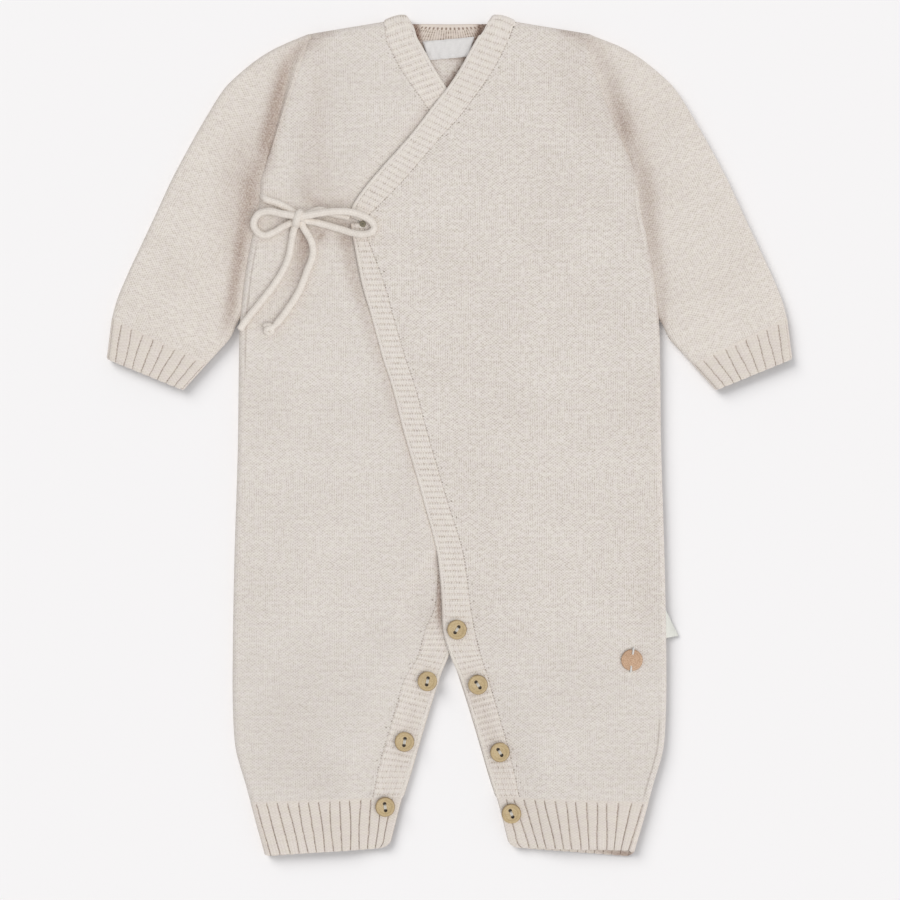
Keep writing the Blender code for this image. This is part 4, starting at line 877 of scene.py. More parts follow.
def marks_group():
    """Small dark holes in a row, at one distance from an edge. Map is (along, from the edge)."""
    tree, given, put = new_group(
        "edge_holes",
        [("Map", "Vector", None), ("Spacing", "Float", 1.6), ("Distance", "Float", 0.5),
         ("Half Length", "Float", 0.35), ("Half Width", "Float", 0.35)],
        [("Mask", "Float")],
    )
    along, away, _ = split(given["Map"])
    place = calc("FRACT", along / given["Spacing"]) - 0.5
    dx = place * given["Spacing"] / given["Half Length"]
    dy = (away - given["Distance"]) / given["Half Width"]
    reach = calc("SQRT", dx * dx + dy * dy)
    feed(put["Mask"], slope(reach, 0.5, 1.1, 1.0, 0.0))
    return tree


def heather_group():
    """The yarn's uneven mix of fibres, in streaks along the rows. Map in millimetres, rows across it."""
    tree, given, put = new_group(
        "heather_yarn", [("Map", "Vector", None)], [("Tone", "Float"), ("Warmth", "Float")],
    )
    streaks = grainy(stretch(given["Map"], (0.045, 0.62, 1)), 1.0, 3.0, 0.6)
    fibres = grainy(stretch(given["Map"], (0.9, 1.3, 1)), 1.0, 2.0, 0.7)
    patches = grainy(stretch(given["Map"], (0.02, 0.035, 1), (7.3, 2.1, 0)), 1.0, 2.0, 0.5)
    tone = streaks * 0.40 + fibres * 0.40
    feed(put["Tone"], tone + patches * 0.20)
    feed(put["Warmth"], grainy(stretch(given["Map"], (0.19, 0.35, 1), (3, 9, 0)), 1.0, 3.0, 0.6))
    return tree


# Curves and heights


def ease(t):
    t = np.clip(t, 0.0, 1.0)
    return t * t * (3 - 2 * t)


def mix(a, b, t):
    return a + (b - a) * t


def fine_curve(points):
    """Closely spaced points on a smooth curve through the given ones."""
    p = np.array(points, float)
    p = np.vstack([2 * p[0] - p[1], p, 2 * p[-1] - p[-2]])
    t = np.linspace(0, 1, CURVE_STEPS, endpoint=False)[:, None]
    parts = []
    for a, b, c, d in zip(p[:-3], p[1:-2], p[2:-1], p[3:]):
        bend = (2 * a - 5 * b + 4 * c - d) * t**2 + (3 * b - a - 3 * c + d) * t**3
        parts.append(b + 0.5 * ((c - a) * t + bend))
    parts.append(p[-2][None])
    return np.vstack(parts)


def smooth(points, places):
    """Points of the smooth curve at the given shares of its length."""
    fine = fine_curve(points)
    run = np.r_[0, np.cumsum(np.linalg.norm(np.diff(fine, axis=0), axis=1))]
    at = np.asarray(places, float) * run[-1]
    return np.stack([np.interp(at, run, fine[:, k]) for k in range(fine.shape[1])], axis=1)


def curve_length(points):
    return float(np.linalg.norm(np.diff(fine_curve(points), axis=0), axis=1).sum())


def x_at(points):
    """x as a function of y, along an edge that runs down the garment."""
    fine = fine_curve(points)
    order = np.argsort(fine[:, 1])
    ys, xs = fine[order, 1], fine[order, 0]
    return lambda y: np.interp(y, ys, xs)


side_curve = x_at([(s.half, s.y) for s in SIDES])
neck_free = x_at([(r.free_x, r.free_y) for r in NECK_FRONT])
neck_sewn = x_at([(r.sewn_x, r.sewn_y) for r in NECK_FRONT])
over_free_low = x_at([(r.free, r.y) for r in WRAP_EDGE + OVER_LEG])
over_sewn_low = x_at([(r.sewn, r.y) for r in WRAP_EDGE + OVER_LEG])
under_sewn_low = x_at([(r.sewn, r.y) for r in UNDER_EDGE + UNDER_LEG])
back_sewn = x_at([(r.sewn_x, r.sewn_y) for r in BACK_BAND])


def half_width(y):
    """Half the body's width: a straight armhole, then the side."""
    up = (y - ARMPIT.y) / (SHOULDER_TIP.y - ARMPIT.y)
    return np.where(y >= ARMPIT.y, mix(ARMPIT.half, SHOULDER_TIP.half, up), side_curve(y))


def ankle_top(x):
    """How high on the garment the ribs of an ankle start."""
    end = float(half_width(np.array(ANKLE_TOP_OUT))) - ROLL
    return mix(ANKLE_TOP_IN, ANKLE_TOP_OUT, (x - ANKLE_IN_TOP) / (end - ANKLE_IN_TOP))


def over_free(y):
    """The free edge of the over front, at a height on the garment."""
    return np.where(y >= NECK_FRONT[-1].free_y, neck_free(y), over_free_low(y))


def neck_out(hand, y):
    """The under front's neck edge lies further out than the over front's, where it shows."""
    from_top, from_end = (NECK_OUT_TOP - y) / NECK_OUT_GAINS, (y - NECK_OUT_END) / NECK_OUT_FADES
    return UNDER_NECK_OUT * ease(from_top) * ease(from_end) * (hand < 0)


def front_sewn(y, low):
    return np.where(y >= NECK_FRONT[-1].sewn_y, neck_sewn(y), low(y))


def trough(x, y, folds):
    """How far the soft folds lower the cloth at a point."""
    total = 0.0
    for f in folds:
        along_x, along_y = f.x2 - f.x1, f.y2 - f.y1
        share = ((x - f.x1) * along_x + (y - f.y1) * along_y) / (along_x**2 + along_y**2)
        share = np.clip(share, 0.0, 1.0)
        away = np.hypot(x - f.x1 - along_x * share, y - f.y1 - along_y * share) / f.half_width
        total = total + f.depth * np.exp(-away * away)
    return total


def ripple(x, y):
    """The slight unevenness of cloth that has been laid by hand."""
    total = 0.0
    for across, up, turn, height in RIPPLES:
        total = total + height * np.sin(2 * math.pi * (x / across + y / up) / 2 + turn)
    return total


def edge_lift(x, y):
    """1 at the sides and the shoulders, where the layers are rounded up, and 0 inside."""
    side = ease((EDGE_REACH - half_width(y) + np.abs(x)) / EDGE_REACH)
    return np.maximum(side, ease((y - SHOULDER_START) / SHOULDER_REACH))


def armhole_bow(hand, y):
    """How far the body's edge lies inside the straight armhole, at a height on the garment."""
    share = np.clip((SHOULDER_TIP.y - y) / (SHOULDER_TIP.y - ARMPIT.y), 0.0, 1.0)
    return ARMHOLE_BOW[hand] * np.sin(math.pi * share**0.6)


def crotch_lift(y):
    return CROTCH_LIFT * ease((CROTCH_START - y) / CROTCH_REACH)


def over_low(x, y):
    """Height of the over front's underside."""
    wrap = mix(OVER_LOW, EDGE_LOW, edge_lift(x, y)) + crotch_lift(y)
    wrap = wrap - trough(x, y, OVER_FOLDS) * ease((x - over_free(y) - FOLDS_FROM_EDGE) / FOLDS_REACH)
    leg = mix(LEG_BAND_LOW, EDGE_LOW, ease((x - over_sewn_low(y) + 1) / INSEAM_REACH))
    return mix(wrap, leg, ease((OVER_LEG_START - y) / OVER_LEG_REACH))


def under_low(x, y):
    """Height of the under front's underside; x is negative where it shows."""
    pulled = ease((y - PULLED_FROM) / PULLED_REACH)  # the bow holds the layers down beside it
    crotch = ease((CROTCH_FROM - y) / CROTCH_GAINS)
    near = mix(mix(VALLEY_START, PULLED_START, pulled), 2.0, crotch)
    start = over_free(y) - near - CROTCH_VALLEY * crotch
    shows = ease((start - x) / mix(mix(VALLEY_REACH, VALLEY_WIDTH, pulled), VALLEY_WIDTH, crotch))
    wrap = mix(UNDER_COVERED, UNDER_OPEN, shows) + crotch_lift(y) * (1 - shows)
    wrap = wrap - trough(x, y, UNDER_FOLDS) * shows
    leg = mix(LEG_BAND_LOW, EDGE_LOW, ease((-x - under_sewn_low(y) + 1) / INSEAM_REACH))
    return mix(wrap, leg, ease((UNDER_LEG_START - y) / UNDER_LEG_REACH))


def front_low(hand):
    """The underside of the front on one side, for x measured from the middle to that side."""
    if hand > 0:
        return over_low
    return lambda x, y: under_low(-x, y)


def hollow(points, lines):
    """How much painted shade each point takes: 1 for a fold, and 2 for the darkest corner."""
    total = np.zeros(points.shape[:-1])
    for line in lines:
        here = 0.0
        for a, b in zip(line[:-1], line[1:]):
            along = np.array((b.x - a.x, b.y - a.y))
            off = points[..., :2] - (a.x, a.y)
            share = np.clip((off @ along) / (along @ along), 0.0, 1.0)
            away = np.linalg.norm(off - share[..., None] * along, axis=-1) / mix(a.reach, b.reach, share)
            here = np.maximum(here, mix(a.shade, b.shade, share) * np.exp(-away * away))
        total = total + here
    return np.clip(total, 0.0, 2.0)


# Cloth walls


def hand_on(name, mesh, slot):
    """A finished piece, smooth but for its sharp edges, which moves with the part."""
    mesh.shade_smooth()
    mesh.set_sharp_from_angle(angle=math.radians(SHARP))
    piece = linked(name, mesh)
    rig.ride(piece, "root")
    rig.slot(piece, slot)
    return piece


def finished(name, bm, finish, slot):
    mesh = mesh_of(name, bm)
    mesh.materials.append(finish)
    return hand_on(name, mesh, slot)


def laid_grid(outer, maps, slit=None):
    """A bmesh grid with its points on outer[r][c], in millimetres, and each map's flat lengths on its corners."""
    rows, columns = outer.shape[:2]
    bm = bmesh.new()
    spot = bm.verts.layers.int.new("spot")
    layers = [(bm.loops.layers.uv.new(name), flat.reshape(-1, 2)) for name, flat in maps.items()]
    bmesh.ops.create_grid(bm, x_segments=columns - 1, y_segments=rows - 1, size=1.0)
    places = outer.reshape(-1, 3) * MM
    for v in bm.verts:
        c = round((v.co.x + 1) / 2 * (columns - 1))
        r = round((v.co.y + 1) / 2 * (rows - 1))
        v[spot] = r * columns + c
    if slit is not None:
        between = [f for f in bm.faces if {v[spot] % columns for v in f.verts} == {slit, slit + 1}]
        bmesh.ops.delete(bm, geom=between, context="FACES")
    for face in bm.faces:
        for corner in face.loops:
            for layer, flat in layers:
                corner[layer].uv = flat[corner.vert[spot]]
    for v in bm.verts:
        v.co = places[v[spot]]
    bmesh.ops.remove_doubles(bm, verts=bm.verts[:], dist=0.000005)
    return bm, spot


def knit_wall(name, finish, slot, outer, inner, maps, slit=None, hollows=(), shaded=1.0):
    """One closed wall: outer[r][c] are points of its show side, inner[r][c] the ones behind them.

    First and last columns in one place make a tube. With slit, the faces after that column are
    left out, and its points meet those of the next column where they are in one place.
    """
    # painted shade along the given lines, carried to the finish in a map
    shade = hollow(outer, hollows) * shaded
    maps = {**maps, "hollow": np.stack([shade, 0 * shade], axis=2)}
    bm, spot = laid_grid(outer, maps, slit)
    behind = inner.reshape(-1, 3) * MM
    made = bmesh.ops.extrude_face_region(bm, geom=bm.faces[:])
    for v in made["geom"]:
        if isinstance(v, bmesh.types.BMVert):
            v.co = behind[v[spot]]
    bmesh.ops.recalc_face_normals(bm, faces=bm.faces[:])
    return finished(name, bm, finish, slot)


def across_steps(width, step):
    """Distances across a piece, closer together at its two rounded edges."""
    near = np.array(EDGE_STEPS)
    middle = np.linspace(near[-1], width - near[-1], max(3, round(width / step)))[1:-1]
    return np.concatenate([near, middle, width - near[::-1]])


def soft_edge(distance, radius=EDGE_ROUND):
    """How far a rounded edge lies below the face, this far in from it."""
    inside = np.clip(radius - distance, 0.0, radius)
    return radius - np.sqrt(radius**2 - inside**2)


def run_along(x, y):
    """Length along rows of points, from the first."""
    step = np.hypot(np.diff(x), np.diff(y))
    return np.concatenate([[0.0], np.cumsum(step)])


def side_line(hand, y):
    """Where the seam down the side can be seen on the front, from 0 to 1."""
    top, end, fade = SIDE_LINES[hand]
    return ease((top - y) / fade) * ease((y - end) / fade)


def front_panel(name, finish, hand, low_edge):
    """The over front (hand 1) or the under front (hand -1), from the shoulder to the ankle."""
    low = front_low(hand)
    left_top, right_top = NECK_FRONT[0].sewn_y - SHOULDER_STEP, SHOULDER_TIP.y
    share = np.linspace(FIRST_ROW, 1.0, round((right_top - ANKLE_TOP_OUT) / BODY_STEP))[:, None]
    yl = mix(left_top, ankle_top(float(low_edge(ANKLE_TOP_IN))) + TOUCH, share)
    yr = mix(right_top, ANKLE_TOP_OUT + TOUCH, share)
    xl = front_sewn(yl, low_edge) + neck_out(hand, yl) + TOUCH
    below = ease((ARMPIT.y - yr) / ROLL_REACH)
    fold = half_width(yr) - ROLL
    xr = mix(half_width(yr) - armhole_bow(hand, yr), fold + SIDE_WRAP, below)
    width = xr - xl
    unit = across_steps(FRONT_WIDTH, BODY_STEP)
    unit = np.concatenate([unit[unit < FRONT_WIDTH - SIDE_KEPT], FRONT_WIDTH - np.array(SIDE_STEPS)])
    near = unit[None] * np.ones_like(width)
    far = width - (FRONT_WIDTH - near)
    spread = np.clip((unit - EDGE_KEPT) / (FRONT_WIDTH - EDGE_KEPT - SIDE_KEPT), 0.0, 1.0)[None]
    away = mix(near, far, spread)  # distance from the sewn edge
    x, y = xl + away, mix(yl, yr, away / width)
    low_z = low(x, y)
    unevenness = ripple(hand * x, y) * ease(away / LEVEL_EDGE) * ease((width - away) / LEVEL_EDGE)
    top_z = low_z + CLOTH + unevenness * ease((y - ANKLE_TOP_OUT) / 8)
    outer_edge = mix(soft_edge(width - away, ARMHOLE_ROUND), 0.0, below)
    top_z = top_z - soft_edge(away, SEAM_ROUND) - outer_edge
    low_z = low_z - 0.8 * outer_edge * (1 - below)
    lift = 2 * ROLL + SIDE_RISE - EDGE_LOW - CLOTH
    top_z = top_z + lift * below * ease((x - fold + 3) / 3)
    turn = np.maximum(x - fold, 0.0) / ROLL

    def round_side(z, radius):
        """The cloth goes on down round the side, over the back that comes up inside it."""
        bent = np.minimum(x, fold) + radius * np.sin(turn)
        return np.stack([hand * mix(x, bent, below), y, z - below * radius * (1 - np.cos(turn))], axis=2)

    inner, outer = round_side(low_z, ROLL - CLOTH), round_side(top_z, ROLL + SIDE_RISE)
    # The shoulder comes down in a quarter round, to lie on the back.
    big = EDGE_LOW + CLOTH - FACING_BACK
    small = big - CLOTH
    left = np.array((NECK_FRONT[0].sewn_x + TOUCH, left_top))
    right = np.array(SHOULDER_TIP[::-1])
    out = np.array((left[1] - right[1], right[0] - left[0]))
    out = out / np.linalg.norm(out)
    roll_out, roll_in = [], []
    line = left + (right - left) * (away[0] / width[0])[:, None]
    round_off = (soft_edge(away[0], SEAM_ROUND) + soft_edge(width[0] - away[0], ARMHOLE_ROUND))[:, None]
    for angle in np.radians(SHOULDER_FINE):
        for rows, radius in ((roll_out, big - round_off), (roll_in, small - 0.8 * round_off)):
            at = line - out * (big - radius * math.cos(angle))
            rows.append(np.hstack([at * (hand, 1), FACING_BACK + radius * math.sin(angle)]))
    outer = np.concatenate([np.array(roll_out), outer])
    inner = np.concatenate([np.array(roll_in), inner])
    down = run_along(xl[:, 0], yl[:, 0])[:, None] * np.ones_like(away)
    extra = len(roll_out)

    def with_roll(first, second, second_row):
        """A map's two lengths, carried up over the shoulder."""
        top = np.stack([first[0], second_row], axis=1)
        steps = np.linspace(big * math.pi / 2, 0.6, extra)[:, None]
        rolled = np.stack([top + np.array((0, s[0])) for s in steps])
        return np.concatenate([rolled, np.stack([first, second], axis=2)])

    knit = with_roll(x, y, y[0])
    above = np.stack([[down[0] - s, away[0]] for s in np.linspace(6, 0.6, extra)]).transpose(0, 2, 1)
    seam = np.concatenate([above, np.stack([down, away], axis=2)])
    line = side_line(hand, y)
    side = np.stack([line, width - away], axis=2)
    side = np.concatenate([np.repeat(side[:1] * (0, 1), extra, axis=0), side])
    hollows = SIDE_PAINTED_SHADE + FRONT_PAINTED_SHADE
    maps = {"knit": knit, "seam": seam, "side": side}
    return knit_wall(name, finish, "body_knit", outer, inner, maps, hollows=hollows)


def back_panel(finish):
    """The back with both legs: flat on the surface, and rolled up round the edge at its sides."""
    line = (*BACK_NECKLINE, BACK_SHOULDER, Point(SHOULDER_TIP.half, SHOULDER_TIP.y))
    arc = ROLL * math.pi
    apex = BACK_BAND[0].sewn_y
    heights = list(np.arange(BACK_TOP_ROW, ANKLE_TOP_OUT + 4, -BACK_STEP))
    heights = sorted(set(heights) | {apex + step for step in APEX_ROWS}, reverse=True)
    flat_shares = np.linspace(0, 1, BACK_COLUMNS)[:-1]
    angles = np.linspace(-90, 90, ROLL_COLUMNS)

    def top_y(x):
        return np.interp(x, [p.x for p in line], [p.y for p in line])

    rows = [(SHOULDER_TIP.y - down, kind) for down, kind in NECK_ROWS]
    rows += [(y, 1.0) for y in heights] + [(ANKLE_TOP_OUT + TOUCH, 2.0)]
    outer, inner, knit = [], [], []
    for y_side, kind in rows:
        half = float(half_width(np.array(y_side)))
        rolled = float(ease((ARMPIT.y - y_side) / ROLL_REACH))
        x_in = float(back_sewn(y_side - EDGE_GAP)) + EDGE_GAP if y_side < apex else 0.0
        flat_end = mix(half - arc, half - ROLL, rolled)
        x = mix(x_in, flat_end, flat_shares)
        y = np.full_like(x, y_side)
        if kind < 1:
            y = mix(top_y(x), heights[0], kind)
        if kind == 2:
            y = mix(ANKLE_TOP_IN, ANKLE_TOP_OUT, flat_shares) + TOUCH
        flat = np.stack([x, y, np.zeros_like(x)], 1)
        flat_in = flat + np.array((0, 0, CLOTH))
        laid = half - arc * (90 - angles) / 180
        y_roll = np.full_like(laid, y_side)
        if kind < 1:
            y_roll = mix(top_y(laid), heights[0], kind)
        a = np.radians(angles)
        bent = []
        for radius, level in ((ROLL, 0.0), (ROLL - CLOTH, CLOTH)):
            bx = mix(laid, half - ROLL + radius * np.cos(a), rolled)
            bz = mix(level, ROLL + radius * np.sin(a), rolled)
            bent.append(np.stack([bx, y_roll, bz], 1))
        outs = np.concatenate([flat, bent[0]])
        ins = np.concatenate([flat_in, bent[1]])
        flat_map_x = np.concatenate([x, flat_end + ROLL * np.radians(angles + 90) + 0.4])
        across = np.stack([flat_map_x, outs[:, 1]], 1)
        for table, half_rows, mirror in ((outer, outs, 3), (inner, ins, 3), (knit, across, 2)):
            sign = np.ones(mirror)
            sign[0] = -1
            table.append(np.concatenate([half_rows[::-1] * sign, half_rows]))
    outer, inner, knit = np.array(outer), np.array(inner), np.array(knit)
    slit = outer.shape[1] // 2 - 1
    plain = knit * 0 + 60.0
    return knit_wall("back_cloth", finish, "body_knit", outer, inner,
                     {"knit": knit, "seam": plain, "side": plain * (0, 1)}, slit=slit, hollows=NECK_PAINTED_SHADE)


# Ribbed bands


def rib_height(phase, kind=BAND_RIB):
    """Height of rib knit over the plain cloth; phase counts ribs, and each whole number is a groove."""
    rise, sink, half_width_of_groove = kind
    off = np.abs(phase - np.round(phase))
    groove = np.exp(-((off / half_width_of_groove) ** 2))
    return rise * (1 - 0.25 * (2 * (0.5 - off)) ** 2) * (1 - groove) - sink * groove


def band_stations(length, pitch, ribs_from, ribs_to):
    """Lengths along a band, and the count of ribs there: None where it has none."""
    at, phase, spots = 0.0, 0.0, []
    while at < length - 0.4 * pitch:
        ribs = ribs_from <= at < ribs_to
        if ribs:
            spots += [(at + p * pitch, phase + p) for p in RIB_PLACES]
            phase += 1
        else:
            spots.append((at, None))
        at += pitch if ribs else min(PLAIN_PITCH / 3, max(pitch, abs(ribs_from - at)))
    spots.append((length, phase if ribs_to >= length else None))
    return [(min(s, length), p) for s, p in spots]


def band_wall(name, finish, slot, rows, columns, bulge=None, hollows=(), inside=None):
    """A band from its rows: (free edge, sewn edge, direction of its show side, ribs out, ribs in).

    Ribs are the heights of the rib knit on the show side and behind it, 0 where it is plain.
    bulge(points, share across) moves its points.
    """
    free, sewn, out = (np.array([r[k] for r in rows], float) for k in range(3))
    rise_out, rise_in = (np.array([r[k] for r in rows], float)[:, None] for k in (3, 4))
    width = np.linalg.norm(sewn - free, axis=1)[:, None]
    nominal = float(np.median(width))
    unit = across_steps(nominal, columns)
    spread = np.clip((unit - EDGE_BEAD) / (nominal - EDGE_BEAD - EDGE_KEPT), 0.0, 1.0)[None]
    away = mix(unit[None] + 0 * width, width - (nominal - unit[None]), spread)
    away = np.clip(away, 0.0, width)
    flat = free[:, None] + (sewn - free)[:, None] * (away / width)[:, :, None]
    bead = ease((EDGE_BEAD + 0.5 - away) / 0.7) * (rise_out != 0)
    seam = ease((SEAM_SINK_REACH - (width - away)) / SEAM_SINK_REACH)
    ribs = mix(rise_out, 0.15, bead) * (1 - seam) - SEAM_SINK * seam * (rise_out != 0)
    ribs = ribs - BEAD_GROOVE * np.exp(-(((away - EDGE_BEAD - 0.15) / 0.32) ** 2)) * (rise_out != 0)
    up = CLOTH + ribs - soft_edge(away) - soft_edge(width - away, SEAM_ROUND)
    behind = rise_in * (1 - bead) * (1 - seam)
    outer = flat + out[:, None] * up[:, :, None]
    inner = flat - out[:, None] * behind[:, :, None]
    if bulge:
        outer, inner = (bulge(points, away / width) for points in (outer, inner))
    middle = (free + sewn) / 2
    length = np.concatenate([[0], np.cumsum(np.linalg.norm(np.diff(middle, axis=0), axis=1))])
    down = length[:, None] * np.ones_like(away)
    maps = {"knit": np.stack([down, away], axis=2), "seam": np.stack([down, width - away], axis=2)}
    # with inside given, the painted shade falls only on the rows that show the band's inside
    shaded = 1.0
    if inside is not None:
        shaded = np.array(inside)[:, None] + 0 * away
        maps["inside"] = np.stack([shaded, 0 * away], axis=2)
    return knit_wall(name, finish, slot, outer, inner, maps, hollows=hollows, shaded=shaded)


def wrap_band(name, finish, hand, edge_rows, ribs_from):
    """The band from the front's corner along the wrap edge and down the leg."""
    low = front_low(hand)
    sewn_x = x_at([(r.sewn, r.y) for r in edge_rows])
    length = curve_length([(r.free, r.y) for r in edge_rows])
    stations = band_stations(length, WRAP_PITCH, ribs_from, length)
    points = smooth([(r.free, r.sewn, r.y) for r in edge_rows], [s / length for s, _ in stations])
    rows = []
    for (free, sewn, y), (_, phase) in zip(points, stations):
        tilt = RIB_TILT * float(ease((TILT_FROM - y) / TILT_REACH) * ease((y - TILT_TO) / TILT_LEAVE))
        up = y + tilt * (sewn - free)
        sewn = float(sewn_x(up)) if tilt else sewn
        ends = [(hand * x, at, float(low(x, at))) for x, at in ((free, y), (sewn, up))]
        rise = 0.0 if phase is None else float(rib_height(phase))
        rows.append((*ends, (0, 0, 1), rise, 0.0))
    return band_wall(name, finish, "rib_knit", rows, 1.05, hollows=FRONT_PAINTED_SHADE)


def neck_band(finish):
    """One band round the neck: up the over front, over the shoulder, across the back and down."""
    front = [tuple(r) for r in NECK_FRONT]
    front_length = curve_length([(r.free_x, r.free_y) for r in NECK_FRONT])
    crossing = curve_length([(r.free_x, r.free_y) for r in NECK_FRONT[:5]])
    back_length = curve_length([(r.sewn_x, r.sewn_y) for r in NECK_BACK])

    def front_rows(hand, ribs_to):
        low = front_low(hand)
        stations = [s for s in band_stations(front_length, NECK_PITCH, ROLL, ribs_to) if s[0] > ROLL - SEAM]
        points = smooth(front, [s / front_length for s, _ in stations])
        for (fx, fy, sx, sy), (at, phase) in zip(points, stations):
            settle = float(ease(at / NECK_SETTLE))
            fx, sx = fx + float(neck_out(hand, fy)), sx + float(neck_out(hand, sy))
            ends = [(hand * x, y, mix(2 * ROLL - CLOTH, float(low(x, y)), settle)) for x, y in ((fx, fy), (sx, sy))]
            yield (*ends, (0, 0, 1), 0.0 if phase is None else float(rib_height(phase)), 0.0)

    def fold_rows(hand):
        first = NECK_FRONT[0]
        for degrees in np.linspace(FOLD_FROM, FOLD_TO, FOLD_ROWS):
            a = math.radians(degrees)
            out = np.array((0, math.cos(a), math.sin(a)))
            ends = []
            for x, y in ((first.free_x, first.free_y), (first.sewn_x, first.sewn_y)):
                ends.append(np.array((hand * x, y - ROLL, ROLL)) + out * (ROLL - CLOTH))
            rise = float(rib_height((degrees - FOLD_TO) / (FOLD_FROM - FOLD_TO) * 3))
            low_side = float(ease((-20 - degrees) / 50))
            yield (*ends, out, mix(rise, min(rise, 0.0), low_side), 0.0)

    def back_rows(hand):
        table = [tuple(r) for r in NECK_BACK]
        stations = band_stations(back_length, NECK_PITCH * 0.62, 0, back_length)
        for fx, fy, sx, sy in smooth(table, [s / back_length for s, _ in stations]):
            ends = [(hand * x, y, CLOTH) for x, y in ((fx, fy), (sx, sy - BAND_OVERLAP))]
            yield (*ends, (0, 0, -1), -0.05, 0.12)

    rows = list(reversed(list(front_rows(1, front_length))))
    rows += list(fold_rows(1))
    before = len(rows)
    rows += list(back_rows(1))
    rows += reversed(list(back_rows(-1))[:-1])
    across_back = len(rows) - before
    rows += reversed(list(fold_rows(-1)))
    rows += list(front_rows(-1, crossing + NECK_RIBS_PAST))
    inside = [1.0 if before <= k < before + across_back else 0.0 for k in range(len(rows))]

    def shoulder_ears(points, across):
        """The fold on each shoulder stands up a little, rounded off at its two corners."""
        near = ease((points[..., 1] - EAR_FROM) / EAR_REACH)
        shape = np.sin(math.pi * np.clip(across, 0, 1) ** 0.8) ** 0.8
        corner = ease((0.22 - across) / 0.22)
        points = points.copy()
        beside = np.abs(points[..., 0]) > EAR_BESIDE
        points[..., 1] += near * beside * (EAR_RISE * shape - EAR_DROP * corner)
        return points

    return band_wall("neck_band_knit", finish, "rib_knit", rows, 1.15, shoulder_ears, NECK_PAINTED_SHADE, inside)


def back_leg_band(finish):
    """The band round the back's leg opening: one strip from ankle to ankle through the crotch."""
    table = [tuple(r) for r in BACK_BAND]
    length = curve_length([(r.free_x, r.free_y) for r in BACK_BAND])
    stations = band_stations(length, WRAP_PITCH, 0, length)
    half = smooth(table, [s / length for s, _ in stations])
    rows = []
    for hand, part in ((-1, list(zip(half, stations))[::-1]), (1, list(zip(half, stations))[1:])):
        for (fx, fy, sx, sy), (_, phase) in part:
            rise = float(rib_height(phase)) - RIB_RISE
            rows.append(((hand * fx, fy, CLOTH), (hand * sx, sy, CLOTH), (0, 0, -1), rise, rise + 0.2))
    return band_wall("back_leg_band_knit", finish, "rib_knit", rows, 1.3)


# Flattened tubes


def rib_count(ribs, part, share):
    """Ribs counted round a flattened tube; its top starts and ends on the middle of a rib."""
    parts = np.array((ribs - 0.5, 2, ribs - 1, 2.5))
    return np.concatenate([[0], np.cumsum(parts)[:-1]])[part] + parts[part] * share


def tube_walls(near, far, near_edge, far_edge, raised, counts, ribs=0, ribbed=1.0, sway=0.0):
    """One ring of a flattened tube between two points on the surface.

    raised(share) is how far its top stands above the line between its rounded edges. Gives the
    outer and the inner points, the length round it, the part of the ring that each point is on
    (0 underneath, 1 and 3 round its edges, 2 the top), and its share of that part.
    """
    near, far = np.array(near, float), np.array(far, float)
    width = float(np.linalg.norm(far - near))
    way = (far - near) / width
    r_near, r_far = near_edge / 2, far_edge / 2
    under, arc, top = counts
    parts = []  # (across, height, outward across, outward up, part, share of the part)
    for share in np.linspace(0, 1, under + 1):
        parts.append((mix(r_near, width - r_far, share), 0.0, 0.0, -1.0, 0, share))
    for share in np.linspace(0, 1, arc + 1):
        a = math.radians(mix(-90, 90, share))
        parts.append((width - r_far + r_far * math.cos(a), r_far + r_far * math.sin(a),
                      math.cos(a), math.sin(a), 1, share))
    for share in np.linspace(0, 1, top + 1):
        back = 1 - share
        d = mix(r_near, width - r_far, back)
        parts.append((d, mix(near_edge, far_edge, back) + float(raised(back)), 0.0, 1.0, 2, share))
    for share in np.linspace(0, 1, arc + 1):
        a = math.radians(mix(90, 270, share))
        parts.append((r_near + r_near * math.cos(a), r_near + r_near * math.sin(a),
                      math.cos(a), math.sin(a), 3, share))
    p = np.array(parts)
    if ribs:
        counted = rib_count(ribs, p[:, 4].astype(int), p[:, 5])
        rise = rib_height(counted, END_RIB)
        shown = (p[:, 3] + 1) / 2
        rise = ribbed * mix(rise - RIB_RISE, rise, shown)
        p[:, 0] += sway * np.sin(2.3 * counted) * (p[:, 4] == 2)
    else:
        rise = np.zeros(len(p))
    out_across, out_up = p[:, 0] + p[:, 2] * rise, p[:, 1] + p[:, 3] * rise
    in_across, in_up = p[:, 0] - p[:, 2] * CLOTH, p[:, 1] - p[:, 3] * CLOTH

    def placed_at(across, up):
        spot = near + way * across[:, None]
        return np.column_stack([spot, up])

    around = np.concatenate([[0], np.cumsum(np.hypot(np.diff(p[:, 0]), np.diff(p[:, 1])))])
    return placed_at(out_across, out_up), placed_at(in_across, in_up), around, p[:, 4].astype(int), p[:, 5]


def crown(share):
    """How round the top of a pressed sleeve is, across it."""
    return math.sin(math.pi * min(max(share, 0), 1)) ** 0.6


